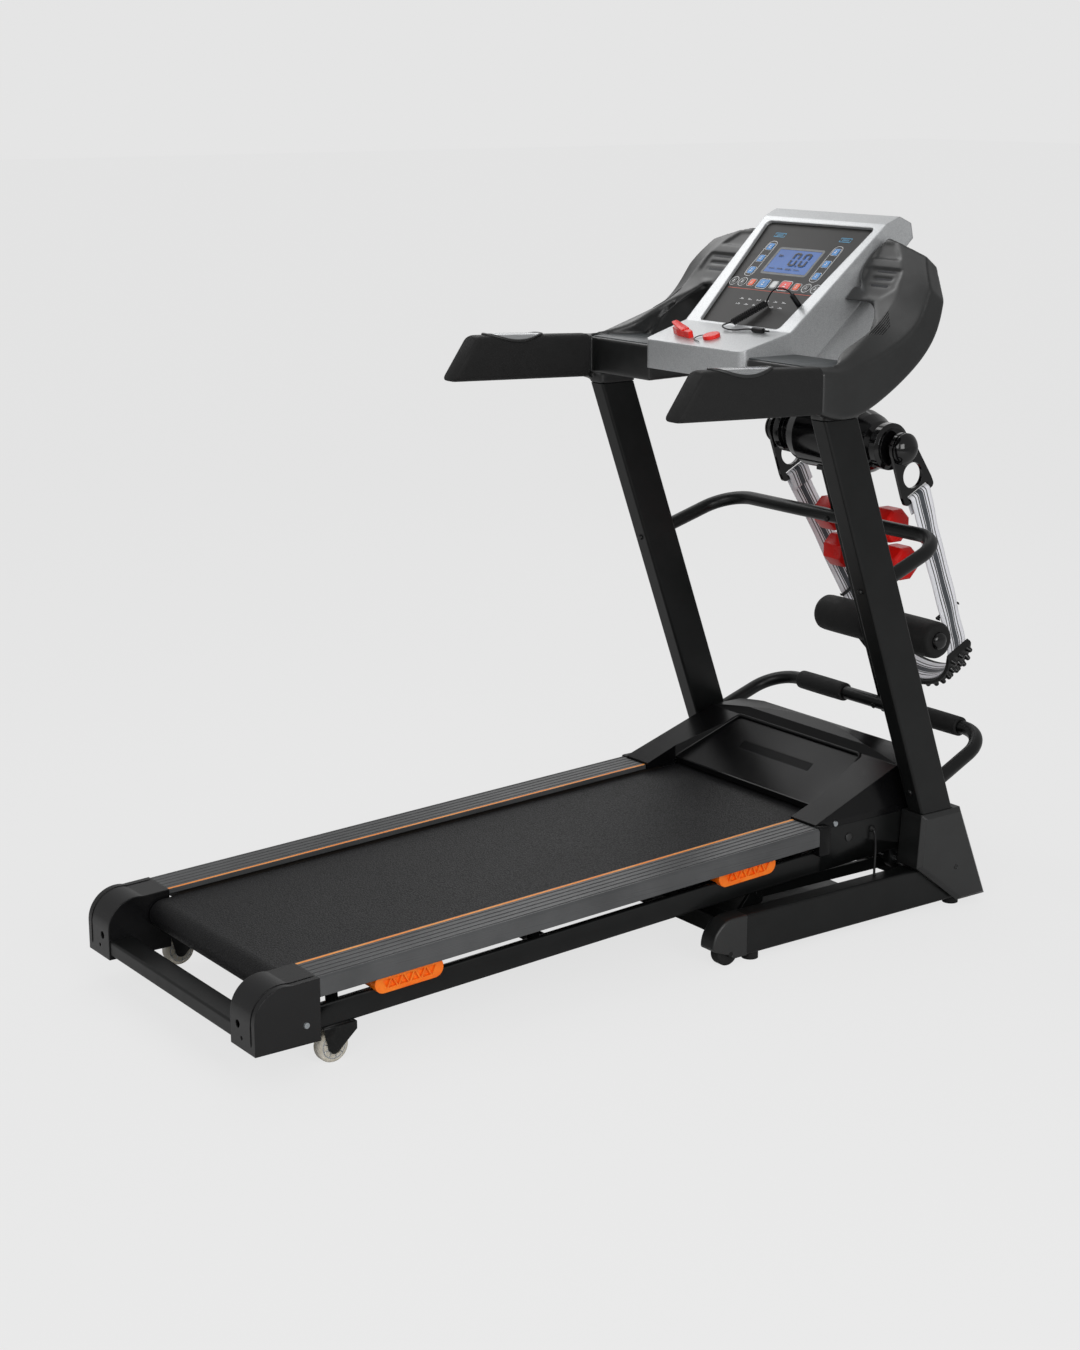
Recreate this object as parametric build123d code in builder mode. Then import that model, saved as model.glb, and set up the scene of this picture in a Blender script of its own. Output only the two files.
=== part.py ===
"""Folding motor treadmill with a console, a running deck and a massager post.

The floor is z = 0, the plane of symmetry is y = 0 and +X runs forward, towards the console.
Lengths are millimetres. Pieces in pairs are drawn on the right-hand side, at -Y, and mirrored.
"""
import os
from math import asin, atan, cos, hypot, pi, radians, sin, sqrt, tan

from build123d import *

os.makedirs("parts", exist_ok=True)

# Overall datum: the rear face of the deck's end caps
REAR_X = -931.44

# Half width of the motor hood: the deck's edges and the frame beside it keep to it
HOOD_HALF_W = 299.0

# Fits shared by several pieces
RUNNING_FIT = 0.05
PIECE_GAP = 0.4

# Base on the floor
BASE_INNER_Y = HOOD_HALF_W + 7
BASE_TUBE_W = 40.0
BASE_TUBE_H = 80.0
BASE_LIFT = 15.0
TUBE_WALL = 2.0
TUBE_CORNER = 5.0
BASE_REAR_X = REAR_X + 1037
BASE_FRONT_X = REAR_X + 1636
CROSS_TUBE = 40.0
BASE_CROSS_X = (REAR_X + 1075, REAR_X + 1604)
FOOT_R = 16.0
FEET_X = (REAR_X + 1062, REAR_X + 1596)
BASE_CAP_LENGTH = 82.0
BASE_CAP_NOSE_R = 52.0
BASE_CAP_SPIGOT = 25.0
TRANSPORT_WHEEL_R = 25.0
TRANSPORT_WHEEL_W = 24.0
TRANSPORT_WHEEL_X = REAR_X + 998
TRANSPORT_AXLE_R = 5.0

# Uprights and the covers at their feet
UPRIGHT_SLOPE = 0.359
UPRIGHT_FOOT_X = REAR_X + 1553
UPRIGHT_DEPTH = 84.0
UPRIGHT_INNER_Y = HOOD_HALF_W + 17
UPRIGHT_W = 40.0
UPRIGHT_TOP_Z = 1016.0
COVER_INNER_Y = HOOD_HALF_W + 4
COVER_OUTER_Y = COVER_INNER_Y + 63
COVER_TOP_Z = 213.0
COVER_BOTTOM_Z = 15.0
COVER_WALL = 3.0
COVER_BEVEL = 8.0
COVER_REAR_MARGIN = 3.0
COVER_FRONT_MARGIN = 18.0
COVER_SKIRT_X = REAR_X + 1582
COVER_SKIRT_Z = 104.0
BOLT_R = 6.0
BOLT_H = 3.5
UPRIGHT_BOLTS_Z = (258.0, 681.0)

# U-shaped bars between the uprights
BAR_R = 14.0
BAR_WALL = 1.8
BAR_BEND_R = 78.0
UPPER_BAR_ROOT_Z = 700.0
UPPER_BAR_X = REAR_X + 1542
UPPER_BAR_Z = 752.0
LOWER_BAR_ROOT_Z = 272.0
LOWER_BAR_X = REAR_X + 1692
LOWER_BAR_Z = 333.0
BAR_END_Y = UPRIGHT_INNER_Y + 6
SLEEVE_R = 20.0
SLEEVE_Y = (103.0, 242.0)

# Deck: rails and board rise forward at one slope, the frame tubes below at a steeper one
RAIL_TOP_Z = 165.0
RAIL_SLOPE = 0.041
RAIL_START = 126.0
RAIL_END = 1246.0
RAIL_INNER_Y = 231.0
RAIL_OUTER_Y = HOOD_HALF_W + 14.5
RAIL_SIDE_H = 35.0
RAIL_WALL = 3.0
RAIL_GROOVES = 5
RAIL_GROOVE_W = 3.0
RAIL_GROOVE_D = 1.2
STRIPE_W = 6.5
STRIPE_D = 1.6
FRAME_TOP_Z = 105.5
FRAME_SLOPE = 0.046
FRAME_START = 80.0
FRAME_END = 1500.0
FRAME_TUBE_Y = 277.0
FRAME_TUBE_W = 30.0
FRAME_TUBE_H = 46.0
SIDE_PLATE_T = 7.0
SIDE_PLATE_X = (REAR_X + 1264, REAR_X + 1500)
HOOD_SEAT_Z = 208.0
BELT_HALF_W = 225.0
BELT_DROP = 13.0
BELT_T = 2.2
BELT_GAP = 0.4
BOARD_HALF_W = 290.0
BOARD_T = 18.0
BOARD_START = 150.0
BOARD_END = 1290.0
ROLLER_R = 25.0
ROLLER_HALF_W = 228.0
ROLLER_AXLE_R = 8.5
REAR_ROLLER_AT = 107.0
FRONT_ROLLER_AT = 1335.0
ROLLER_BLOCK_L = 40.0
FRAME_CROSSES = (330.0, 640.0, 950.0, 1250.0)
FRAME_CROSS_W = 30.0
FRAME_CROSS_H = 18.0
SPACERS = (170.0, 590.0, 910.0, 1216.0)
SPACER_L = 16.0
CUSHIONS = (310.0, 1072.0)
CUSHION_L = 140.0
CUSHION_LIP = 9.0
CUSHION_OUT_Y = 305.0
CUSHION_POCKETS = 9
CUSHION_POCKET_D = 5.0

# Rear end caps and the rear cross bar
CAP_INNER_Y = 231.0
CAP_OUTER_Y = HOOD_HALF_W + 16
CAP_BOTTOM_Z = 58.0
CAP_BACK_Z = 112.0
CAP_CROWN_AT = 72.0
CAP_WALL = 3.6
REAR_BAR_X = (REAR_X + 2, REAR_X + 50)
REAR_BAR_Z = (66.0, 95.0)

# Wheels under the rear of the deck
REAR_WHEEL_X = REAR_X + 163.6
REAR_WHEEL_Y = 281.0
REAR_WHEEL_R = 30.0
REAR_WHEEL_W = 22.0
REAR_AXLE_R = 4.0
FORK_T = 3.0
FORK_REACH = 44.0

# Drive under the hood
MOTOR_AT = 1425.0
MOTOR_R = 42.0
MOTOR_PLATE_W = -10.0
MOTOR_PLATE_L = 80.0
MOTOR_PLATE_AT = 1435.0
MOTOR_Y = (-150.0, 60.0)
MOTOR_PLATE_T = 4.0
FLYWHEEL_R = 40.0
MOTOR_PULLEY_R = 20.0
ROLLER_PULLEY_R = 40.0
DRIVE_Y = 240.0
DRIVE_W = 14.0
DRIVE_BELT_T = 3.0
HOOD_WALL = 3.0
HOOD_REAR_X = REAR_X + 1247
HOOD_REAR_Z = 220.0
HOOD_RIDGE_X = REAR_X + 1470
HOOD_RIDGE_Z = 300.0
HOOD_TOP_X = REAR_X + 1512
HOOD_TOP_Z = 327.0
HOOD_FRONT_X = REAR_X + 1578
HOOD_PANEL_X = REAR_X + 1322
HOOD_PANEL_Z = 222.0
HOOD_PANEL_HALF = (227.0, 186.0)
VENT_SLOTS = 36
VENT_PITCH = 6.0
VENT_SLOT_W = 3.0
VENT_SLOT_L = 24.0
VENT_AT = 92.0

# Fold shaft and incline lift
FOLD_X = REAR_X + 1480
FOLD_Z = 104.0
FOLD_SHAFT_R = 10.0
FOLD_SHAFT_HALF = 297.0
LIFT_X = REAR_X + 1150
LIFT_Z = 85.0
LIFT_ARM_Y = 228.0
LIFT_ARM_T = 8.0
LIFT_SHAFT_R = 8.0
LIFT_SEAT_GAP = 0.3
LEVER_DROP = 48.0
LEVER_PIN_R = 5.0
SCREW_R = 7.0
SCREW_TUBE_R = 16.0
INCLINE_MOTOR_R = 26.0
INCLINE_MOTOR_X = (REAR_X + 1420, REAR_X + 1520)

# Handle arms and grips
GRIP_Y = UPRIGHT_INNER_Y + 34
GRIP_T = 44.0
GRIP_SEAM_X = REAR_X + 1166
GRIP_SEAM_Z = (1031.0, 1118.0)
GRIP_TIP_X = (REAR_X + 831, REAR_X + 893)
GRIP_TIP_Z = (1044.0, 1131.0)
GRIP_EDGE_R = 13.0
PULSE_X = (REAR_X + 921, REAR_X + 1056)
PULSE_W = 32.0
PULSE_T = 2.5

# Console
TRAY_FRONT_X = REAR_X + 1165
TRAY_Z = (1069.0, 1125.0)
PANEL_LOW_X = REAR_X + 1284
PANEL_LOW_Z = 1153.5
PANEL_LENGTH = 278.0
PANEL_TILT = 41.6
PANEL_HALF = (118.0, 157.0)
PANEL_T = 2.0
BEZEL_H = 6.0
CONSOLE_HALF = (146.0, 180.0)
CONSOLE_TOP_X = REAR_X + 1529
CONSOLE_TOP_Z = 1364.0
CONSOLE_DEPTH = 72.0
BACK_T = 3.0
LCD_W = 122.0
LCD_L = 62.0
LCD_AT = 178.0
KEY_RISE = 0.8
KEY_LIFT = 1.0
KEY_GAP = 0.35
KEY_COLUMN_Y = 96.0
KEY_COLUMN_AT = (213.0, 180.0, 147.0)
KEY_COLUMN_SIZE = (16.0, 18.0)
KEY_ROW_AT = 115.0
BIG_KEY_SIZE = (28.0, 22.0)
BIG_KEY_Y = 32.0
SMALL_KEY_SIZE = (15.0, 17.0)
SMALL_KEY_YS = (-120.0, -94.0, -66.0, 0.0, 66.0, 94.0, 120.0)

# Accessory post with its roller and dumbbells
POST_W = 30.0
POST_DEPTH = 42.0
POST_TOP_Z = 846.0
POST_BOTTOM_Z = 306.0
ROLLER_POST_Z = 500.0
ROLLER_POST_IN = 44.0
FOAM_R = 38.5
FOAM_Y = (17.0, 172.0)
FOAM_AXLE_R = 10.0
FOAM_CAP_R = 19.0
FOAM_CAP_H = 9.0
DUMBBELL_Z = (738.0, 656.0)
DUMBBELL_OUT = 19.0
DUMBBELL_HANDLE_R = 14.0
DUMBBELL_HEAD_R = 37.0
DUMBBELL_HEAD_Y = (54.0, 112.0)
RACK_T = 6.0

# Massager and its belt
MASSAGER_X = REAR_X + 1556
MASSAGER_Z = 912.0
MASSAGER_R = 66.0
MASSAGER_HALF = 96.0
MASSAGER_FLANGE_R = 47.0
MASSAGER_END_Y = 160.0
SPINDLE_R = 16.0
HOOK_Y = 178.0
HOOK_T = 8.0
DOME_R = 32.0
BELT_LEAN = 27.0
HOOK_REACH = 112.0
HOOK_HOLE_AT = 62.0
HOOK_HOLE_R = 26.0
HOOK_CORNER_R = 9.0
HOOK_HALF_W = 43.0
HOOK_SLACK = 1.5
STRAP_W = 54.0
STRAP_T = 3.0
STRAP_LEG_END = (140.0, 470.0)
PAD_T = 9.0
PAD_W = 74.0
NODULE_R = 7.0
NODULE_H = 11.0
NODULE_STEP = 10.5
NODULE_ROWS = 13
PAD_SPREAD = 70.0

# Safety key, its clip and the audio lead
SAFETY_DISC_R = 17.0
SAFETY_DISC_H = 7.0
SAFETY_DISC_AT = 48.0
SAFETY_DISC_Y = -3.0
LANYARD_R = 1.0
CORD_R = 1.5
JACK_AT = 70.0
JACK_Y = -112.0
PLUG_R = 5.0
PLUG_L = 30.0
CURL_R = 6.2
CURL_TURNS = 18
CURL_PHASE = 0.4
CURL_START_AT = 60.0
CURL_START_Y = -33.0
CURL_END_AT = -4.0
CURL_END_Y = 8.0
PLUG_TIP_R = 1.75
PLUG_TIP_L = 16.0
LOOSE_PLUG = (98.0, -70.0, 5.2)
LEAD_OVER = ((70.0, -112.0, 30.0), (70.0, -112.0, 43.0), (66.0, -88.0, 50.0), (63.0, -62.0, 36.0))
LEAD_TAIL = ((92.0, 18.0, 8.0), (86.0, 0.0, 4.0), (88.0, -28.0, 3.0), (98.0, -52.0, 5.2))


def save(piece, node):
    """Name a finished piece and write it."""
    piece.part.label = node
    export_step(piece.part, f"parts/{node}.step")


def rising(x, z, slope):
    """Plane through (x, z) whose X axis climbs forward at a slope and whose Z is square to it."""
    angle = atan(slope)
    return Plane(origin=(x, 0, z), x_dir=(cos(angle), 0, sin(angle)), z_dir=(-sin(angle), 0, cos(angle)))


def across(plane, u, w):
    """Plane square to another's X axis at u, w: its X is world Y and its Y is the other's Z."""
    return Plane(origin=plane.from_local_coords(Vector(u, 0, w)), x_dir=(0, 1, 0), z_dir=plane.x_dir)


def beside(plane, y):
    """Side-view plane at -y: its X and Y are another plane's X and Z, and it faces -Y."""
    origin = plane.origin + Vector(0, -y, 0)
    return Plane(origin=origin, x_dir=plane.x_dir, z_dir=(0, -1, 0))


def side(y):
    """Side-view plane at -y in world x and z, facing -Y."""
    return Plane.XZ.offset(y)


def tube_face(width, height, wall, corner):
    """Section of a rectangular tube."""
    RectangleRounded(width, height, corner)
    RectangleRounded(width - 2 * wall, height - 2 * wall, corner - wall, mode=Mode.SUBTRACT)


def upright_rear(z):
    """x of an upright's rear edge at a height."""
    return UPRIGHT_FOOT_X - UPRIGHT_SLOPE * z


DECK = rising(REAR_X, RAIL_TOP_Z, RAIL_SLOPE)
FRAME = rising(REAR_X, FRAME_TOP_Z, FRAME_SLOPE)
BASE_MID_Y = BASE_INNER_Y + BASE_TUBE_W / 2
BASE_TOP_Z = BASE_LIFT + BASE_TUBE_H

# Heights in the deck's own frame, from the belt's top surface down
ROLLER_W = -BELT_DROP - BELT_T - BELT_GAP - ROLLER_R
BOARD_TOP_W = ROLLER_W + ROLLER_R + BELT_GAP - 0.3
BOARD_BOTTOM_W = BOARD_TOP_W - BOARD_T
REAR_ROLLER_C = DECK.from_local_coords(Vector(REAR_ROLLER_AT, 0, ROLLER_W))
FRONT_ROLLER_C = DECK.from_local_coords(Vector(FRONT_ROLLER_AT, 0, ROLLER_W))
BOARD_BOTTOM = Plane(DECK.from_local_coords(Vector(0, 0, BOARD_BOTTOM_W)), x_dir=DECK.x_dir, z_dir=DECK.z_dir)

# Base tubes on the floor, one each side
with BuildPart() as base_tubes:
    with BuildSketch(Plane.YZ.offset(BASE_REAR_X)):
        with Locations((-BASE_MID_Y, BASE_LIFT + BASE_TUBE_H / 2)):
            tube_face(BASE_TUBE_W, BASE_TUBE_H, TUBE_WALL, TUBE_CORNER)
    extrude(amount=BASE_FRONT_X - BASE_REAR_X)
    mirror(about=Plane.XZ)
    CABLE_X = REAR_X + 1388
    CABLE_Y = -BASE_INNER_Y - 14
    CABLE_R = 2.5
    with BuildSketch(Plane.XY.offset(BASE_TOP_Z)):
        with Locations((CABLE_X, CABLE_Y)):
            Circle(CABLE_R + 1.5)
    extrude(amount=-2 * TUBE_WALL, mode=Mode.SUBTRACT)
save(base_tubes, "base_tubes")

# Cross tubes between the base tubes, with lugs for the lift shaft on the rear one
with BuildPart() as base_crossbars:
    with BuildSketch(Plane.XZ):
        for x in BASE_CROSS_X:
            with Locations((x, BASE_LIFT + CROSS_TUBE / 2)):
                tube_face(CROSS_TUBE, CROSS_TUBE, TUBE_WALL, TUBE_CORNER)
    extrude(amount=BASE_INNER_Y, both=True)
    LUG_Y = LIFT_ARM_Y + LIFT_ARM_T + 2
    LUG_T = 8.0
    with BuildSketch(side(LUG_Y)):
        with BuildLine():
            Polyline(
                (BASE_CROSS_X[0] + CROSS_TUBE / 2, BASE_LIFT + 6),
                (LIFT_X + 12, LIFT_Z - 16),
                (LIFT_X + 12, LIFT_Z + 14),
                (LIFT_X - 14, LIFT_Z + 14),
                (BASE_CROSS_X[0] + CROSS_TUBE / 2, BASE_LIFT + CROSS_TUBE - 4),
                close=True,
            )
        make_face()
        with Locations((LIFT_X, LIFT_Z)):
            Circle(LIFT_SHAFT_R + RUNNING_FIT, mode=Mode.SUBTRACT)
    lugs = extrude(amount=LUG_T)
    mirror(lugs, about=Plane.XZ)
save(base_crossbars, "base_crossbars")

# Plastic end caps of the base tubes, each with a pocket for its transport wheel
with BuildPart() as base_end_caps:
    cap_rear = BASE_REAR_X - BASE_CAP_LENGTH
    with BuildSketch(side(BASE_INNER_Y)):
        with BuildLine():
            Polyline(
                (cap_rear + BASE_CAP_NOSE_R, BASE_TOP_Z),
                (BASE_REAR_X, BASE_TOP_Z),
                (BASE_REAR_X, BASE_LIFT),
                (TRANSPORT_WHEEL_X + 8, BASE_LIFT),
                (TRANSPORT_WHEEL_X - 4, BASE_LIFT + 9),
                (cap_rear + 4, BASE_TOP_Z - BASE_CAP_NOSE_R - 6),
                (cap_rear, BASE_TOP_Z - BASE_CAP_NOSE_R),
            )
            RadiusArc(
                (cap_rear, BASE_TOP_Z - BASE_CAP_NOSE_R), (cap_rear + BASE_CAP_NOSE_R, BASE_TOP_Z), BASE_CAP_NOSE_R
            )
        make_face()
    extrude(amount=BASE_TUBE_W)
    fillet(base_end_caps.edges().filter_by(GeomType.CIRCLE), 4)
    with BuildSketch(Plane.YZ.offset(BASE_REAR_X)):
        with Locations((-BASE_MID_Y, BASE_LIFT + BASE_TUBE_H / 2)):
            RectangleRounded(BASE_TUBE_W - 2 * TUBE_WALL, BASE_TUBE_H - 2 * TUBE_WALL, TUBE_CORNER - TUBE_WALL)
    extrude(amount=BASE_CAP_SPIGOT)
    pocket_half = TRANSPORT_WHEEL_W / 2 + 1.5
    with BuildSketch(side(BASE_MID_Y - pocket_half)):
        with Locations((TRANSPORT_WHEEL_X, TRANSPORT_WHEEL_R)):
            Circle(TRANSPORT_WHEEL_R + 4)
            with Locations((0, -TRANSPORT_WHEEL_R)):
                Rectangle(2 * TRANSPORT_WHEEL_R + 8, 2 * TRANSPORT_WHEEL_R)
    extrude(amount=2 * pocket_half, mode=Mode.SUBTRACT)
    with BuildSketch(side(BASE_INNER_Y)):
        with Locations((TRANSPORT_WHEEL_X, TRANSPORT_WHEEL_R)):
            Circle(TRANSPORT_AXLE_R)
    extrude(amount=BASE_TUBE_W, mode=Mode.SUBTRACT)
    mirror(about=Plane.XZ)
save(base_end_caps, "base_end_caps")

# Rubber feet under the base tubes
with BuildPart() as base_feet:
    with BuildSketch(Plane.XY):
        for x in FEET_X:
            with Locations((x, -BASE_MID_Y), (x, BASE_MID_Y)):
                Circle(FOOT_R)
    extrude(amount=BASE_LIFT)
    chamfer(base_feet.faces().sort_by(Axis.Z)[0].edges(), 1.5)
save(base_feet, "base_feet")

# Transport wheels, one solid each side
for name, mid_y in (("right", -BASE_MID_Y), ("left", BASE_MID_Y)):
    with BuildPart() as transport_wheel:
        with BuildSketch(Plane.XZ.offset(-mid_y - TRANSPORT_WHEEL_W / 2)):
            with Locations((TRANSPORT_WHEEL_X, TRANSPORT_WHEEL_R)):
                Circle(TRANSPORT_WHEEL_R)
                Circle(TRANSPORT_AXLE_R + RUNNING_FIT, mode=Mode.SUBTRACT)
        extrude(amount=TRANSPORT_WHEEL_W)
        rims = transport_wheel.edges().filter_by(GeomType.CIRCLE).group_by(SortBy.RADIUS)[-1]
        fillet(rims, 4)
    save(transport_wheel, f"transport_wheel_{name}")

# Leaning uprights of rectangular tube
with BuildPart() as uprights:
    for inset, mode in ((0.0, Mode.ADD), (TUBE_WALL, Mode.SUBTRACT)):
        with BuildSketch(side(UPRIGHT_INNER_Y + inset)):
            Polygon(
                (upright_rear(BASE_TOP_Z) + inset, BASE_TOP_Z),
                (upright_rear(BASE_TOP_Z) + UPRIGHT_DEPTH - inset, BASE_TOP_Z),
                (upright_rear(UPRIGHT_TOP_Z) + UPRIGHT_DEPTH - inset, UPRIGHT_TOP_Z),
                (upright_rear(UPRIGHT_TOP_Z) + inset, UPRIGHT_TOP_Z),
                align=None,
            )
        extrude(amount=UPRIGHT_W - 2 * inset, mode=mode)
        if mode == Mode.ADD:
            fillet(uprights.edges().group_by(SortBy.LENGTH)[-1], TUBE_CORNER)
    mirror(about=Plane.XZ)
save(uprights, "uprights")

# Tapered covers round the feet of the uprights, open to the inner side
with BuildPart() as upright_covers:
    cover_outline = (
        (upright_rear(COVER_TOP_Z) - COVER_REAR_MARGIN, COVER_TOP_Z),
        (upright_rear(COVER_TOP_Z) + UPRIGHT_DEPTH + COVER_FRONT_MARGIN, COVER_TOP_Z),
        (upright_rear(COVER_BOTTOM_Z) + UPRIGHT_DEPTH + 2 * COVER_FRONT_MARGIN - 8, COVER_BOTTOM_Z),
        (COVER_SKIRT_X, COVER_BOTTOM_Z),
        (upright_rear(COVER_TOP_Z) - COVER_REAR_MARGIN - 8, COVER_SKIRT_Z),
    )
    with BuildSketch(side(COVER_INNER_Y)):
        Polygon(*cover_outline, align=None)
    extrude(amount=COVER_OUTER_Y - COVER_INNER_Y)
    outer_face = upright_covers.faces().sort_by(Axis.Y)[0]
    chamfer(outer_face.edges(), COVER_BEVEL)
    with BuildSketch(side(COVER_INNER_Y)):
        Polygon(*cover_outline, align=None)
        offset(amount=-COVER_WALL, mode=Mode.REPLACE)
    extrude(amount=COVER_OUTER_Y - COVER_INNER_Y - COVER_BEVEL - COVER_WALL, mode=Mode.SUBTRACT)
    with BuildSketch(side(UPRIGHT_INNER_Y - PIECE_GAP)):
        Polygon(
            (upright_rear(0) - PIECE_GAP, 0),
            (upright_rear(0) + UPRIGHT_DEPTH + PIECE_GAP, 0),
            (upright_rear(2 * COVER_TOP_Z) + UPRIGHT_DEPTH + PIECE_GAP, 2 * COVER_TOP_Z),
            (upright_rear(2 * COVER_TOP_Z) - PIECE_GAP, 2 * COVER_TOP_Z),
            align=None,
        )
    extrude(amount=UPRIGHT_W + 2 * PIECE_GAP, mode=Mode.SUBTRACT)
    with BuildSketch(Plane.YZ.offset(REAR_X + 1400)):
        with Locations((-BASE_MID_Y, BASE_LIFT + BASE_TUBE_H / 2 - PIECE_GAP)):
            Rectangle(BASE_TUBE_W + 2 * PIECE_GAP, BASE_TUBE_H + 4 * PIECE_GAP)
    extrude(amount=BASE_FRONT_X + PIECE_GAP - REAR_X - 1400, mode=Mode.SUBTRACT)
    with BuildSketch(side(COVER_INNER_Y - 1)):
        with Locations((BASE_CROSS_X[1], BASE_LIFT + CROSS_TUBE / 2)):
            Rectangle(CROSS_TUBE + 2 * PIECE_GAP, CROSS_TUBE + 2 * PIECE_GAP)
    extrude(amount=BASE_INNER_Y - COVER_INNER_Y + 1 + PIECE_GAP, mode=Mode.SUBTRACT)
    mirror(about=Plane.XZ)
save(upright_covers, "upright_covers")


def u_bar(root_z, cross_x, cross_z):
    """Bent tube from one upright's front face out to a cross run and back to the other."""
    root = Vector(upright_rear(root_z) + UPRIGHT_DEPTH, 0, root_z)
    upright_mid = UPRIGHT_INNER_Y + UPRIGHT_W / 2
    points = [
        (root.X, -upright_mid, root.Z),
        (cross_x, -BAR_END_Y, cross_z),
        (cross_x, BAR_END_Y, cross_z),
        (root.X, upright_mid, root.Z),
    ]
    with BuildPart() as bar:
        with BuildLine() as path:
            FilletPolyline(*points, radius=BAR_BEND_R)
        with BuildSketch(Plane(path.line @ 0, z_dir=path.line % 0)):
            Circle(BAR_R)
            Circle(BAR_R - BAR_WALL, mode=Mode.SUBTRACT)
        sweep()
        with BuildSketch(side(UPRIGHT_INNER_Y - 20)):
            Polygon(
                (upright_rear(root_z + 200) + UPRIGHT_DEPTH, root_z + 200),
                (upright_rear(root_z - 200) + UPRIGHT_DEPTH, root_z - 200),
                (upright_rear(root_z) - 100, root_z - 200),
                (upright_rear(root_z) - 100, root_z + 200),
                align=None,
            )
        trim = extrude(amount=UPRIGHT_W + 40, mode=Mode.SUBTRACT)
        mirror(trim, about=Plane.XZ, mode=Mode.SUBTRACT)
    return bar


upper_bar = u_bar(UPPER_BAR_ROOT_Z, UPPER_BAR_X, UPPER_BAR_Z)
save(upper_bar, "upper_bar")
lower_bar = u_bar(LOWER_BAR_ROOT_Z, LOWER_BAR_X, LOWER_BAR_Z)
save(lower_bar, "lower_bar")

# Foam sleeves on the lower bar
with BuildPart() as bar_sleeves:
    with BuildSketch(side(SLEEVE_Y[0])):
        with Locations((LOWER_BAR_X, LOWER_BAR_Z)):
            Circle(SLEEVE_R)
            Circle(BAR_R + RUNNING_FIT, mode=Mode.SUBTRACT)
    extrude(amount=SLEEVE_Y[1] - SLEEVE_Y[0])
    fillet(bar_sleeves.edges().filter_by(GeomType.CIRCLE).group_by(SortBy.RADIUS)[-1], 2)
    mirror(about=Plane.XZ)
save(bar_sleeves, "bar_sleeves")

# Deck frame: side tubes with roller blocks, spacers, motor-bay plates and the fold lugs
with BuildPart() as deck_frame:
    with BuildSketch(across(FRAME, FRAME_START, -FRAME_TUBE_H / 2)):
        with Locations((-FRAME_TUBE_Y, 0)):
            tube_face(FRAME_TUBE_W, FRAME_TUBE_H, TUBE_WALL, TUBE_CORNER)
    extrude(amount=FRAME_END - FRAME_START)
    with BuildSketch(beside(FRAME, FRAME_TUBE_Y - SPACER_L / 2)):
        for at in SPACERS:
            with Locations((at, 20)):
                Rectangle(SPACER_L, 44)
        for roller in (REAR_ROLLER_C, FRONT_ROLLER_C):
            spot = FRAME.to_local_coords(roller)
            with Locations((spot.X, spot.Z / 2 + 6)):
                Rectangle(ROLLER_BLOCK_L, spot.Z + 16)
    extrude(amount=SPACER_L)
    with BuildSketch(BOARD_BOTTOM):
        with Locations(((BOARD_START + BOARD_END) / 2, -FRAME_TUBE_Y)):
            Rectangle(BOARD_END - BOARD_START, 2 * FRAME_TUBE_W)
    extrude(amount=BOARD_T + 2 * SPACER_L, mode=Mode.SUBTRACT)
    with BuildSketch(side(FRAME_TUBE_Y + FRAME_TUBE_W / 2)):
        tube_low = FRAME.from_local_coords(Vector(SIDE_PLATE_X[0] - REAR_X, 0, -FRAME_TUBE_H + 6))
        tube_low_end = FRAME.from_local_coords(Vector(SIDE_PLATE_X[1] - REAR_X, 0, -FRAME_TUBE_H + 6))
        Polygon(
            (SIDE_PLATE_X[0], tube_low.Z),
            (SIDE_PLATE_X[1], tube_low_end.Z),
            (SIDE_PLATE_X[1], HOOD_SEAT_Z),
            (SIDE_PLATE_X[0], HOOD_SEAT_Z),
            align=None,
        )
    extrude(amount=SIDE_PLATE_T)
    with BuildSketch(side(FRAME_TUBE_Y - SPACER_L / 2)):
        with Locations((FOLD_X, FOLD_Z)):
            Circle(FOLD_SHAFT_R + 10)
            with Locations((0, 18)):
                Rectangle(2 * FOLD_SHAFT_R + 20, 36)
    extrude(amount=SPACER_L)
    fork_half = REAR_WHEEL_W / 2 + 1.5
    fork_top = FRAME.from_local_coords(Vector(REAR_WHEEL_X - REAR_X, 0, -FRAME_TUBE_H)).Z + 1
    for leg_y in (REAR_WHEEL_Y - fork_half - FORK_T, REAR_WHEEL_Y + fork_half):
        with BuildSketch(side(leg_y)):
            with Locations((REAR_WHEEL_X, REAR_WHEEL_R)):
                Circle(12)
            Polygon(
                (REAR_WHEEL_X - 22, fork_top),
                (REAR_WHEEL_X - 12, REAR_WHEEL_R),
                (REAR_WHEEL_X + 10, REAR_WHEEL_R - 6),
                (REAR_WHEEL_X + FORK_REACH, fork_top - 14),
                (REAR_WHEEL_X + FORK_REACH, fork_top),
                align=None,
            )
        extrude(amount=FORK_T)
    with BuildSketch(side(REAR_WHEEL_Y - fork_half - FORK_T)):
        with Locations((REAR_WHEEL_X + (FORK_REACH - 22) / 2, fork_top - FORK_T / 2)):
            Rectangle(FORK_REACH + 22, FORK_T)
        with Locations((REAR_WHEEL_X, REAR_WHEEL_R)):
            Circle(REAR_AXLE_R)
    extrude(amount=2 * (fork_half + FORK_T))
    with BuildSketch(side(FRAME_TUBE_Y - FRAME_TUBE_W)):
        with Locations((FOLD_X, FOLD_Z)):
            Circle(FOLD_SHAFT_R + RUNNING_FIT)
        for roller in (REAR_ROLLER_C, FRONT_ROLLER_C):
            with Locations((roller.X, roller.Z)):
                Circle(ROLLER_AXLE_R + RUNNING_FIT)
    extrude(amount=2 * FRAME_TUBE_W, mode=Mode.SUBTRACT)
    mirror(about=Plane.XZ)
save(deck_frame, "deck_frame")

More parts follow.
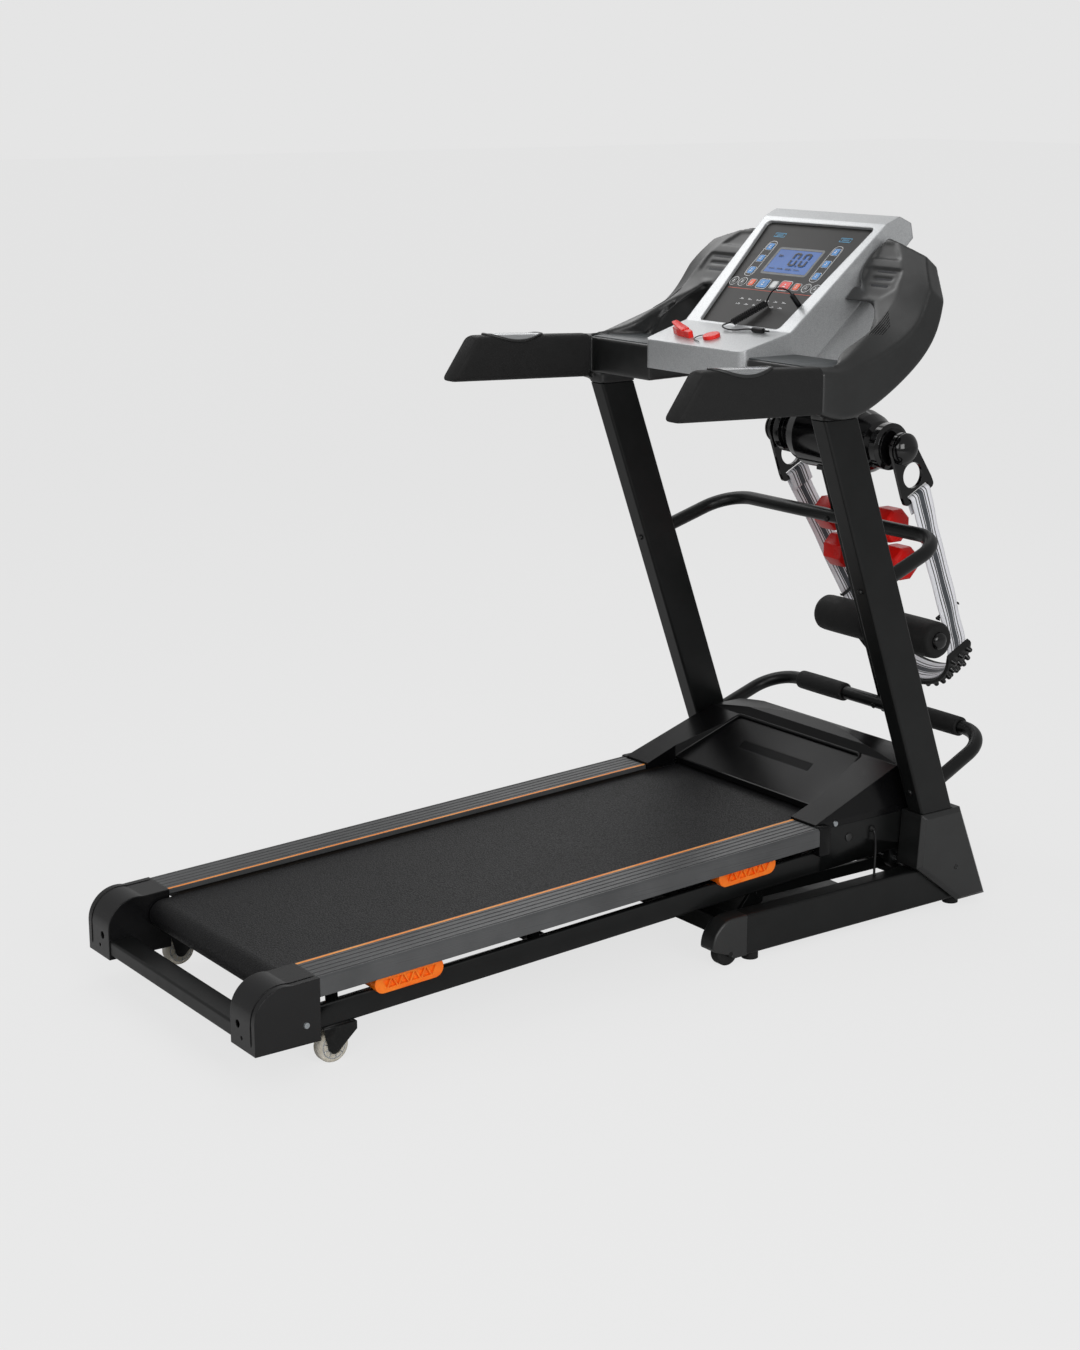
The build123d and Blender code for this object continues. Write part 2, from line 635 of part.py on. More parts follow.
# Cross tubes of the deck, the rear bar between the caps and the plate under the motor
with BuildPart() as deck_crossbars:
    with BuildSketch(beside(FRAME, 0)):
        for at in FRAME_CROSSES:
            with Locations((at, FRAME_CROSS_H / 2 - FRAME_TUBE_H)):
                tube_face(FRAME_CROSS_W, FRAME_CROSS_H, TUBE_WALL, TUBE_CORNER)
        with Locations((MOTOR_PLATE_AT, MOTOR_PLATE_W)):
            Rectangle(MOTOR_PLATE_L, MOTOR_PLATE_T)
    extrude(amount=FRAME_TUBE_Y - FRAME_TUBE_W / 2, both=True)
    with BuildSketch(Plane.XZ):
        with Locations(((REAR_BAR_X[0] + REAR_BAR_X[1]) / 2, (REAR_BAR_Z[0] + REAR_BAR_Z[1]) / 2)):
            tube_face(REAR_BAR_X[1] - REAR_BAR_X[0], REAR_BAR_Z[1] - REAR_BAR_Z[0], TUBE_WALL, TUBE_CORNER)
    extrude(amount=CAP_INNER_Y, both=True)
save(deck_crossbars, "deck_crossbars")

# Running board
with BuildPart() as running_board:
    with BuildSketch(beside(DECK, 0)):
        with Locations(((BOARD_START + BOARD_END) / 2, (BOARD_TOP_W + BOARD_BOTTOM_W) / 2)):
            Rectangle(BOARD_END - BOARD_START, BOARD_T)
    extrude(amount=BOARD_HALF_W, both=True)
save(running_board, "running_board")

# Running belt round both rollers
with BuildPart() as running_belt:
    with BuildSketch(beside(DECK, 0)):
        with Locations(((REAR_ROLLER_AT + FRONT_ROLLER_AT) / 2, ROLLER_W)):
            span = FRONT_ROLLER_AT - REAR_ROLLER_AT
            SlotCenterToCenter(span, 2 * (ROLLER_R + BELT_GAP + BELT_T))
            SlotCenterToCenter(span, 2 * (ROLLER_R + BELT_GAP), mode=Mode.SUBTRACT)
    extrude(amount=BELT_HALF_W, both=True)
save(running_belt, "running_belt")


def roller_drum(centre):
    """Roller with its axle ends, across the deck at a centre."""
    with BuildPart() as drum:
        with BuildSketch(Plane.XZ):
            with Locations((centre.X, centre.Z)):
                Circle(ROLLER_R)
        extrude(amount=ROLLER_HALF_W, both=True)
        with BuildSketch(Plane.XZ):
            with Locations((centre.X, centre.Z)):
                Circle(ROLLER_AXLE_R)
        extrude(amount=FRAME_TUBE_Y + SPACER_L / 2, both=True)
    return drum


rear_roller = roller_drum(REAR_ROLLER_C)
save(rear_roller, "rear_roller")

# Front roller with the driven pulley on its left end
with BuildPart() as front_roller:
    add(roller_drum(FRONT_ROLLER_C).part)
    with BuildSketch(side(-DRIVE_Y - DRIVE_W)):
        with Locations((FRONT_ROLLER_C.X, FRONT_ROLLER_C.Z)):
            Circle(ROLLER_PULLEY_R)
    extrude(amount=DRIVE_W)
save(front_roller, "front_roller")

# Ribbed foot rails, each standing on the board by an inner leg
with BuildPart() as side_rails:
    leg_y = RAIL_INNER_Y + 19
    with BuildSketch(across(DECK, RAIL_START, 0)):
        with BuildLine():
            Polyline(
                (-RAIL_INNER_Y, 0),
                (-RAIL_INNER_Y, -3 * RAIL_WALL),
                (-RAIL_INNER_Y - RAIL_WALL, -3 * RAIL_WALL),
                (-RAIL_INNER_Y - RAIL_WALL, -RAIL_WALL),
                (-leg_y, -RAIL_WALL),
                (-leg_y, BOARD_TOP_W),
                (-leg_y - RAIL_WALL, BOARD_TOP_W),
                (-leg_y - RAIL_WALL, -RAIL_WALL),
                (-RAIL_OUTER_Y + RAIL_WALL, -RAIL_WALL),
                (-RAIL_OUTER_Y + RAIL_WALL, -RAIL_SIDE_H),
                (-RAIL_OUTER_Y, -RAIL_SIDE_H),
                (-RAIL_OUTER_Y, -4),
                (-RAIL_OUTER_Y + 4, 0),
                close=True,
            )
        make_face()
        groove_first = RAIL_INNER_Y + STRIPE_W + 10
        groove_pitch = (RAIL_OUTER_Y - groove_first - 9) / (RAIL_GROOVES - 1)
        for number in range(RAIL_GROOVES):
            with Locations((-groove_first - number * groove_pitch, 0)):
                Rectangle(RAIL_GROOVE_W, 2 * RAIL_GROOVE_D, mode=Mode.SUBTRACT)
        with Locations((-RAIL_INNER_Y - 1.5 - STRIPE_W / 2, 0)):
            Rectangle(STRIPE_W, 2 * STRIPE_D, mode=Mode.SUBTRACT)
    extrude(amount=RAIL_END - RAIL_START)
    mirror(about=Plane.XZ)
save(side_rails, "side_rails")

# Coloured strips inlaid along the inner edges of the rails
with BuildPart() as stripe_inserts:
    with BuildSketch(across(DECK, RAIL_START, -STRIPE_D / 2)):
        with Locations((-RAIL_INNER_Y - 1.5 - STRIPE_W / 2, 0)):
            Rectangle(STRIPE_W, STRIPE_D)
    extrude(amount=RAIL_END - RAIL_START)
    mirror(about=Plane.XZ)
save(stripe_inserts, "stripe_inserts")


def rail_z(at):
    """Height of the rail's top surface at a distance from the rear face."""
    return RAIL_TOP_Z + RAIL_SLOPE * at


# Moulded rear end caps, hollow and open to the front
with BuildPart() as rear_caps:
    cap_front = DECK.from_local_coords(Vector(RAIL_START, 0, 0)).X
    crown_x = REAR_X + CAP_CROWN_AT
    for inset, mode in ((0.0, Mode.ADD), (CAP_WALL, Mode.SUBTRACT)):
        with BuildSketch(side(CAP_INNER_Y + inset)):
            with BuildLine():
                low = (REAR_X + inset, CAP_BOTTOM_Z + inset)
                back = (REAR_X + inset, CAP_BACK_Z)
                crown = (crown_x, rail_z(CAP_CROWN_AT) - inset)
                front_x = cap_front + 2 * inset
                Polyline(crown, (front_x, rail_z(front_x - REAR_X) - inset), (front_x, CAP_BOTTOM_Z + inset), low, back)
                TangentArc(back, crown, tangent=(0, 1))
            make_face()
        extrude(amount=CAP_OUTER_Y - CAP_INNER_Y - 2 * inset, mode=mode)
    with BuildSketch(side(CAP_INNER_Y - 1)):
        with Locations((REAR_ROLLER_C.X, REAR_ROLLER_C.Z)):
            Circle(ROLLER_AXLE_R + 2)
            with Locations((20, 0)):
                Rectangle(40, 2 * ROLLER_AXLE_R + 4)
    extrude(amount=2 * CAP_WALL, mode=Mode.SUBTRACT)
    with BuildSketch(Plane.YZ.offset(REAR_X)):
        with Locations((-CAP_INNER_Y - 26, 100)):
            Circle(7)
        with Locations((-CAP_INNER_Y - 38, 78)):
            Circle(3.5)
    extrude(amount=CAP_WALL + 1, mode=Mode.SUBTRACT)
    mirror(about=Plane.XZ)
save(rear_caps, "rear_caps")

# Rubber cushions between the frame tubes and the board
with BuildPart() as cushions:
    inner_y = FRAME_TUBE_Y - FRAME_TUBE_W / 2 + 2
    outer_tube_y = FRAME_TUBE_Y + FRAME_TUBE_W / 2
    cushion_h = 36.0
    with BuildSketch(beside(FRAME, inner_y)):
        for at in CUSHIONS:
            with Locations((at, cushion_h / 2 - CUSHION_LIP)):
                SlotOverall(CUSHION_L, cushion_h)
    extrude(amount=CUSHION_OUT_Y - inner_y)
    with BuildSketch(beside(FRAME, inner_y)):
        for at in CUSHIONS:
            with Locations((at, -CUSHION_LIP)):
                Rectangle(2 * CUSHION_L, 2 * CUSHION_LIP)
    extrude(amount=outer_tube_y - inner_y, mode=Mode.SUBTRACT)
    with BuildSketch(BOARD_BOTTOM):
        for at in CUSHIONS:
            with Locations((at, -FRAME_TUBE_Y)):
                Rectangle(2 * CUSHION_L, 4 * FRAME_TUBE_W)
    extrude(amount=2 * CUSHION_LIP, mode=Mode.SUBTRACT)
    pocket_step = (CUSHION_L - cushion_h) / CUSHION_POCKETS
    with BuildSketch(beside(FRAME, CUSHION_OUT_Y)):
        for at in CUSHIONS:
            for number in range(CUSHION_POCKETS):
                turn = 0 if number % 2 else 180
                along = at + (number - (CUSHION_POCKETS - 1) / 2) * pocket_step
                with Locations(Location((along, 7, 0), (0, 0, turn))):
                    Polygon((-pocket_step * 0.7, -8), (pocket_step * 0.7, -8), (0, 8), align=None)
    extrude(amount=-CUSHION_POCKET_D, mode=Mode.SUBTRACT)
    mirror(about=Plane.XZ)
save(cushions, "cushions")

# Clear wheels in the forks under the deck's rear
for name, mid_y in (("right", -REAR_WHEEL_Y), ("left", REAR_WHEEL_Y)):
    with BuildPart() as rear_wheel:
        with BuildSketch(Plane.XZ.offset(-mid_y - REAR_WHEEL_W / 2)):
            with Locations((REAR_WHEEL_X, REAR_WHEEL_R)):
                Circle(REAR_WHEEL_R)
                Circle(REAR_AXLE_R + RUNNING_FIT, mode=Mode.SUBTRACT)
        extrude(amount=REAR_WHEEL_W)
        fillet(rear_wheel.edges().filter_by(GeomType.CIRCLE).group_by(SortBy.RADIUS)[-1], 6)
    save(rear_wheel, f"rear_wheel_{name}")

# Drive: motor can, flywheel shaft with its pulley, belt and controller
MOTOR_C = FRAME.from_local_coords(Vector(MOTOR_AT, 0, MOTOR_PLATE_W + MOTOR_PLATE_T / 2 + MOTOR_R))
with BuildPart() as motor:
    with BuildSketch(side(-MOTOR_Y[1])):
        with Locations((MOTOR_C.X, MOTOR_C.Z)):
            Circle(MOTOR_R)
    extrude(amount=MOTOR_Y[1] - MOTOR_Y[0])
    chamfer(motor.edges().filter_by(GeomType.CIRCLE), 3)
    with BuildSketch(side(-MOTOR_Y[1])):
        with Locations((MOTOR_C.X, MOTOR_C.Z)):
            Circle(8 + RUNNING_FIT)
    extrude(amount=15, mode=Mode.SUBTRACT)
save(motor, "motor")

with BuildPart() as motor_flywheel:
    for start, end, radius in (
        (MOTOR_Y[1] - 14, DRIVE_Y + DRIVE_W + 3, 8),
        (MOTOR_Y[1] + 8, MOTOR_Y[1] + 34, FLYWHEEL_R),
        (DRIVE_Y, DRIVE_Y + DRIVE_W, MOTOR_PULLEY_R),
    ):
        with BuildSketch(side(-end)):
            with Locations((MOTOR_C.X, MOTOR_C.Z)):
                Circle(radius)
        extrude(amount=end - start)
save(motor_flywheel, "motor_flywheel")

with BuildPart() as drive_belt:
    for outset, mode in ((BELT_GAP + DRIVE_BELT_T, Mode.ADD), (BELT_GAP, Mode.SUBTRACT)):
        with BuildSketch(side(-DRIVE_Y - DRIVE_W + 1)):
            with Locations((FRONT_ROLLER_C.X, FRONT_ROLLER_C.Z)):
                Circle(ROLLER_PULLEY_R + outset)
            with Locations((MOTOR_C.X, MOTOR_C.Z)):
                Circle(MOTOR_PULLEY_R + outset)
            make_hull()
        extrude(amount=DRIVE_W - 2, mode=mode)
save(drive_belt, "drive_belt")

with BuildPart() as motor_controller:
    controller_h = 26.0
    with BuildSketch(across(FRAME, MOTOR_PLATE_AT - 38, MOTOR_PLATE_W + (MOTOR_PLATE_T + controller_h) / 2)):
        with Locations((165, 0)):
            RectangleRounded(90, controller_h, 3)
    extrude(amount=76)
save(motor_controller, "motor_controller")


def hood_side(inset):
    """Side outline of the hood, inset by the wall."""
    return (
        (HOOD_REAR_X + inset, HOOD_SEAT_Z - inset),
        (HOOD_REAR_X + inset, HOOD_REAR_Z - inset),
        (HOOD_RIDGE_X, HOOD_RIDGE_Z - inset),
        (HOOD_RIDGE_X + 12 + inset / 3, HOOD_RIDGE_Z + 17 - inset),
        (HOOD_TOP_X, HOOD_TOP_Z - inset),
        (HOOD_TOP_X + 36 - inset / 2, HOOD_TOP_Z - 13 - inset),
        (HOOD_FRONT_X - 12 - inset, HOOD_RIDGE_Z - 22 - inset),
        (HOOD_FRONT_X - inset, HOOD_SEAT_Z - inset),
    )


def hood_solid(inset):
    """Filled hood, inset by the wall, with the sunk middle panel cut out of it."""
    with BuildPart() as solid:
        with BuildSketch(Plane.XZ):
            Polygon(*hood_side(inset), align=None)
        extrude(amount=HOOD_HALF_W - inset, both=True)
        with BuildSketch(Plane.YZ.offset(HOOD_REAR_X)):
            shoulder = HOOD_HALF_W - 11
            with BuildLine():
                Polyline(
                    (shoulder - inset, HOOD_RIDGE_Z + 1 - inset),
                    (HOOD_HALF_W - inset, HOOD_REAR_Z),
                    (HOOD_HALF_W - inset, HOOD_SEAT_Z - inset),
                    (inset - HOOD_HALF_W, HOOD_SEAT_Z - inset),
                    (inset - HOOD_HALF_W, HOOD_REAR_Z),
                    (inset - shoulder, HOOD_RIDGE_Z + 1 - inset),
                )
                ThreePointArc(
                    (inset - shoulder, HOOD_RIDGE_Z + 1 - inset),
                    (0, HOOD_TOP_Z - inset),
                    (shoulder - inset, HOOD_RIDGE_Z + 1 - inset),
                )
            make_face()
        extrude(amount=HOOD_FRONT_X - HOOD_REAR_X, mode=Mode.INTERSECT)
    with BuildPart() as sunk:
        with BuildSketch(Plane.XZ):
            Polygon(
                (HOOD_REAR_X - 10, HOOD_SEAT_Z - 10),
                (HOOD_PANEL_X - inset, HOOD_SEAT_Z - 10),
                (HOOD_PANEL_X - inset, HOOD_PANEL_Z - inset),
                (HOOD_RIDGE_X, HOOD_RIDGE_Z - 2 - inset),
                (HOOD_RIDGE_X + inset, HOOD_RIDGE_Z + 80),
                (HOOD_REAR_X - 10, HOOD_RIDGE_Z + 80),
                align=None,
            )
        extrude(amount=HOOD_HALF_W, both=True)
        with BuildSketch(Plane.XY.offset(HOOD_SEAT_Z - 20)):
            low = HOOD_PANEL_HALF[0] + inset
            high = HOOD_PANEL_HALF[1] + inset
            Polygon(
                (HOOD_REAR_X - 10, -low),
                (HOOD_PANEL_X, -low),
                (HOOD_RIDGE_X + inset, -high),
                (HOOD_RIDGE_X + inset, high),
                (HOOD_PANEL_X, low),
                (HOOD_REAR_X - 10, low),
                align=None,
            )
        extrude(amount=200, mode=Mode.INTERSECT)
    with BuildPart() as result:
        add(solid.part)
        add(sunk.part, mode=Mode.SUBTRACT)
    return result


# Moulded motor hood with its sunk vent panel
HOOD_PANEL_SLOPE = (HOOD_RIDGE_Z - 2 - HOOD_PANEL_Z) / (HOOD_RIDGE_X - HOOD_PANEL_X)
with BuildPart() as motor_hood:
    add(hood_solid(0).part)
    add(hood_solid(HOOD_WALL).part, mode=Mode.SUBTRACT)
    vent_plane = rising(HOOD_PANEL_X, HOOD_PANEL_Z, HOOD_PANEL_SLOPE)
    with BuildSketch(vent_plane):
        with Locations((VENT_AT, 0)):
            with GridLocations(1, VENT_PITCH, 1, VENT_SLOTS):
                Rectangle(VENT_SLOT_L, VENT_SLOT_W, rotation=12)
    extrude(amount=2 * HOOD_WALL, both=True, mode=Mode.SUBTRACT)
save(motor_hood, "motor_hood")

# Fold shaft through the lugs at the front of the deck frame
with BuildPart() as pivot_shaft:
    with BuildSketch(Plane.XZ):
        with Locations((FOLD_X, FOLD_Z)):
            Circle(FOLD_SHAFT_R)
    extrude(amount=FOLD_SHAFT_HALF, both=True)
save(pivot_shaft, "pivot_shaft")

# Lift arms under the fold shaft, on a cross shaft with a lever for the screw
with BuildPart() as lift_arms:
    with BuildSketch(Plane.XZ):
        with Locations((LIFT_X, LIFT_Z)):
            Circle(LIFT_SHAFT_R)
    extrude(amount=LIFT_ARM_Y + LIFT_ARM_T + 12, both=True)
    arm_top = FOLD_Z - FOLD_SHAFT_R - LIFT_SEAT_GAP
    with BuildSketch(side(LIFT_ARM_Y)):
        Polygon(
            (LIFT_X - 12, LIFT_Z - 13),
            (FOLD_X + 22, arm_top - 24),
            (FOLD_X + 22, arm_top),
            (LIFT_X - 12, arm_top),
            align=None,
        )
    arm = extrude(amount=LIFT_ARM_T)
    mirror(arm, about=Plane.XZ)
    with BuildSketch(Plane.XZ):
        with Locations((LIFT_X, LIFT_Z - LEVER_DROP / 2)):
            Rectangle(18, LEVER_DROP)
        with Locations((LIFT_X, LIFT_Z - LEVER_DROP)):
            Circle(9)
    extrude(amount=5, both=True)
    with BuildSketch(Plane.XZ):
        with Locations((LIFT_X, LIFT_Z - LEVER_DROP)):
            Circle(LEVER_PIN_R)
    extrude(amount=16, both=True)
save(lift_arms, "lift_arms")

# Incline screw with a fork round the lever's pin
SCREW_Z = LIFT_Z - LEVER_DROP
with BuildPart() as incline_screw:
    with BuildSketch(side(-14)):
        with Locations((LIFT_X, SCREW_Z)):
            Circle(13)
            with Locations((14, 0)):
                Rectangle(28, 22)
            Circle(LEVER_PIN_R + 2.5, mode=Mode.SUBTRACT)
    extrude(amount=28)
    with BuildSketch(side(-6.5)):
        with Locations((LIFT_X, SCREW_Z)):
            Rectangle(42, 40)
    extrude(amount=13, mode=Mode.SUBTRACT)
    with BuildSketch(Plane.YZ.offset(LIFT_X + 24)):
        with Locations((0, SCREW_Z)):
            Circle(SCREW_R)
    extrude(amount=120)
save(incline_screw, "incline_screw")

# Incline motor: screw tube, gearbox and can, fixed to the front cross tube
with BuildPart() as incline_motor:
    tube_x = LIFT_X + 60
    with BuildSketch(Plane.YZ.offset(tube_x)):
        with Locations((0, SCREW_Z)):
            Circle(SCREW_TUBE_R)
    extrude(amount=INCLINE_MOTOR_X[0] - tube_x)
    with BuildSketch(Plane.YZ.offset(INCLINE_MOTOR_X[0])):
        with Locations((30, SCREW_Z + 9)):
            RectangleRounded(110, 46, 6)
    extrude(amount=30)
    with BuildSketch(Plane.YZ.offset(INCLINE_MOTOR_X[0])):
        with Locations((54, SCREW_Z + 10)):
            Circle(INCLINE_MOTOR_R)
    extrude(amount=-90)
    with BuildSketch(Plane.YZ.offset(INCLINE_MOTOR_X[0] + 30)):
        with Locations((0, SCREW_Z)):
            Rectangle(28, 30)
    extrude(amount=BASE_CROSS_X[1] - CROSS_TUBE / 2 - INCLINE_MOTOR_X[0] - 30)
    with BuildSketch(Plane.YZ.offset(tube_x)):
        with Locations((0, SCREW_Z)):
            Circle(SCREW_R + RUNNING_FIT)
    extrude(amount=150, mode=Mode.SUBTRACT)
save(incline_motor, "incline_motor")

# Signal cable from the motor bay into the base tube, with its slack inside the tube
with BuildPart() as signal_cable:
    cable_points = [
        (REAR_X + 1396, -FRAME_TUBE_Y - FRAME_TUBE_W / 2 - SIDE_PLATE_T - PIECE_GAP, 186),
        (REAR_X + 1396, CABLE_Y + 4, 186),
        (REAR_X + 1398, CABLE_Y - 2, 140),
        (CABLE_X, CABLE_Y, 96),
        (CABLE_X, CABLE_Y, 30),
    ]
    cable_radii = []
    for before, here, after in zip(cable_points, cable_points[1:], cable_points[2:]):
        run_in = Vector(*here) - Vector(*before)
        run_out = Vector(*after) - Vector(*here)
        half_turn = radians(run_in.get_angle(run_out)) / 2
        cable_radii.append(0.45 * min(run_in.length, run_out.length) / tan(half_turn))
    with BuildLine() as cable_path:
        FilletPolyline(*cable_points, radius=cable_radii)
    with BuildSketch(Plane(cable_path.line @ 0, z_dir=cable_path.line % 0)):
        Circle(CABLE_R)
    sweep()
print("signal cable radii", [round(radius, 1) for radius in cable_radii])
save(signal_cable, "signal_cable")

PANEL = rising(PANEL_LOW_X, PANEL_LOW_Z, tan(radians(PANEL_TILT)))
BEZEL_FOOT = PANEL.from_local_coords(Vector(-4, 0, BEZEL_H))
TRAY_SLOPE = (BEZEL_FOOT.Z - TRAY_Z[1]) / (BEZEL_FOOT.X - TRAY_FRONT_X)
TRAY = rising(TRAY_FRONT_X, TRAY_Z[1], TRAY_SLOPE)
CONSOLE_FLARE = (CONSOLE_HALF[1] - CONSOLE_HALF[0]) / (CONSOLE_TOP_X - TRAY_FRONT_X)


def console_side(x):
    """Half width of the console at an x."""
    return CONSOLE_HALF[0] + CONSOLE_FLARE * (x - TRAY_FRONT_X)


def panel_face(inset, start=0.0):
    """Outline of the control panel, drawn in the panel's plane, inset all round."""
    flare = (PANEL_HALF[1] - PANEL_HALF[0]) / PANEL_LENGTH
    low = start + inset
    high = PANEL_LENGTH - inset
    with BuildSketch(mode=Mode.PRIVATE) as outline:
        Polygon(
            (low, -PANEL_HALF[0] - flare * low + inset),
            (high, -PANEL_HALF[0] - flare * high + inset),
            (high, PANEL_HALF[0] + flare * high - inset),
            (low, PANEL_HALF[0] + flare * low - inset),
            align=None,
        )
        fillet(outline.vertices(), 10)
    return outline.sketch


# Console housing with the tray, the sunk panel bed and a pocket in its back
with BuildPart() as console_housing:
    bezel_high = PANEL.from_local_coords(Vector(PANEL_LENGTH + 12, 0, BEZEL_H))
    back_low = PANEL.from_local_coords(Vector(44, 0, -CONSOLE_DEPTH))
    with BuildSketch(Plane.XZ):
        Polygon(
            (TRAY_FRONT_X, TRAY_Z[0]),
            (TRAY_FRONT_X, TRAY_Z[1]),
            (BEZEL_FOOT.X, BEZEL_FOOT.Z),
            (bezel_high.X, bezel_high.Z),
            (CONSOLE_TOP_X, CONSOLE_TOP_Z),
            (CONSOLE_TOP_X + 28, CONSOLE_TOP_Z - 13),
            (CONSOLE_TOP_X + 34, CONSOLE_TOP_Z - 42),
            (back_low.X, back_low.Z),
            (TRAY_FRONT_X + 135, TRAY_Z[0]),
            align=None,
        )
    extrude(amount=2 * CONSOLE_HALF[1], both=True)
    with BuildSketch(Plane.XY.offset(TRAY_Z[0])):
        far_x = CONSOLE_TOP_X + 40
        Polygon(
            (TRAY_FRONT_X, -console_side(TRAY_FRONT_X)),
            (far_x, -console_side(far_x)),
            (far_x, console_side(far_x)),
            (TRAY_FRONT_X, console_side(TRAY_FRONT_X)),
            align=None,
        )
    extrude(amount=CONSOLE_TOP_Z - TRAY_Z[0], mode=Mode.INTERSECT)
    fillet(console_housing.edges().filter_by(Axis.Z), 14)
    with BuildSketch(Plane(PANEL.from_local_coords(Vector(0, 0, -PANEL_T)), x_dir=PANEL.x_dir, z_dir=PANEL.z_dir)):
        add(panel_face(0))
    extrude(amount=PANEL_T + 4 * BEZEL_H, mode=Mode.SUBTRACT)
    back_start = PANEL.from_local_coords(Vector(0, 0, -CONSOLE_DEPTH - 30))
    with BuildSketch(Plane(back_start, x_dir=PANEL.x_dir, z_dir=PANEL.z_dir)):
        with Locations((PANEL_LENGTH * 0.62, 0)):
            RectangleRounded(PANEL_LENGTH * 0.66, 2 * PANEL_HALF[0], 8)
    extrude(amount=CONSOLE_DEPTH + 6, mode=Mode.SUBTRACT)
save(console_housing, "console_housing")

# Cover plate inside the pocket in the console's back
with BuildPart() as console_back:
    plate_at = PANEL.from_local_coords(Vector(0, 0, -CONSOLE_DEPTH + 18))
    with BuildSketch(Plane(plate_at, x_dir=PANEL.x_dir, z_dir=PANEL.z_dir)):
        with Locations((PANEL_LENGTH * 0.62, 0)):
            RectangleRounded(PANEL_LENGTH * 0.66 - PIECE_GAP, 2 * PANEL_HALF[0] - PIECE_GAP, 8 - PIECE_GAP / 2)
    extrude(amount=BACK_T)
save(console_back, "console_back")

SMALL_KEYS = [(KEY_ROW_AT, y) for y in SMALL_KEY_YS]
LEFT_COLUMN = [(at, KEY_COLUMN_Y) for at in KEY_COLUMN_AT]
RIGHT_COLUMN = [(at, -KEY_COLUMN_Y) for at in KEY_COLUMN_AT]
KEY_GROUPS = {
    "start_key": ([(KEY_ROW_AT, BIG_KEY_Y)], BIG_KEY_SIZE),
    "stop_key": ([(KEY_ROW_AT, -BIG_KEY_Y)], BIG_KEY_SIZE),
    "mode_keys": (SMALL_KEYS, SMALL_KEY_SIZE),
    "incline_quick_keys": (LEFT_COLUMN, KEY_COLUMN_SIZE),
    "speed_quick_keys": (RIGHT_COLUMN, KEY_COLUMN_SIZE),
}

# Control panel with its window, key holes and headphone socket
with BuildPart() as console_panel:
    with BuildSketch(PANEL):
        add(panel_face(0.2))
        with Locations((LCD_AT, 0)):
            Rectangle(LCD_L, LCD_W, mode=Mode.SUBTRACT)
        for spots, size in KEY_GROUPS.values():
            with Locations(*spots):
                RectangleRounded(size[1], size[0], 4, mode=Mode.SUBTRACT)
        with Locations((JACK_AT, JACK_Y)):
            Circle(PLUG_R - 2, mode=Mode.SUBTRACT)
    extrude(amount=-PANEL_T)
save(console_panel, "console_panel")

with BuildPart() as lcd_display:
    with BuildSketch(PANEL):
        with Locations((LCD_AT, 0)):
            Rectangle(LCD_L - PIECE_GAP, LCD_W - PIECE_GAP)
    extrude(amount=-PANEL_T)
save(lcd_display, "lcd_display")

for node, (spots, size) in KEY_GROUPS.items():
    with BuildPart() as keys:
        key_bed = PANEL.from_local_coords(Vector(0, 0, KEY_LIFT - PANEL_T))
        with BuildSketch(Plane(key_bed, x_dir=PANEL.x_dir, z_dir=PANEL.z_dir)):
            with Locations(*spots):
                RectangleRounded(size[1] - 2 * KEY_GAP, size[0] - 2 * KEY_GAP, 4 - KEY_GAP)
        extrude(amount=PANEL_T - KEY_LIFT + KEY_RISE)
    save(keys, node)

# Foam grips, one each side, with a slanted rear end
with BuildPart() as grips:
    with BuildSketch(side(GRIP_Y - GRIP_T / 2)):
        Polygon(
            (GRIP_SEAM_X, GRIP_SEAM_Z[0]),
            (GRIP_SEAM_X, GRIP_SEAM_Z[1]),
            (GRIP_TIP_X[1], GRIP_TIP_Z[1]),
            (GRIP_TIP_X[0], GRIP_TIP_Z[0]),
            align=None,
        )
    extrude(amount=GRIP_T)
    rounded = grips.edges().filter_by(lambda edge: edge.center().X < GRIP_SEAM_X - 1)
    fillet(rounded, GRIP_EDGE_R)
    grip_top = GRIP_TIP_Z[1] + (GRIP_SEAM_Z[1] - GRIP_TIP_Z[1]) / (GRIP_SEAM_X - GRIP_TIP_X[1]) * (
        PULSE_X[1] - GRIP_TIP_X[1]
    )
    with BuildSketch(Plane.XY.offset(grip_top - PULSE_T)):
        with Locations(((PULSE_X[0] + PULSE_X[1]) / 2, -GRIP_Y)):
            SlotOverall(PULSE_X[1] - PULSE_X[0], PULSE_W)
    extrude(amount=20, mode=Mode.SUBTRACT)
    mirror(about=Plane.XZ)
save(grips, "grips")

# Metal pulse plates in the tops of the grips
with BuildPart() as pulse_plates:
    with BuildSketch(Plane.XY.offset(grip_top - PULSE_T)):
        with Locations(((PULSE_X[0] + PULSE_X[1]) / 2, -GRIP_Y)):
            SlotOverall(PULSE_X[1] - PULSE_X[0] - 2 * PIECE_GAP, PULSE_W - 2 * PIECE_GAP)
    extrude(amount=PULSE_T + 3)
    fillet(pulse_plates.faces().sort_by(Axis.Z)[-1].edges(), 2)
    mirror(about=Plane.XZ)
save(pulse_plates, "pulse_plates")

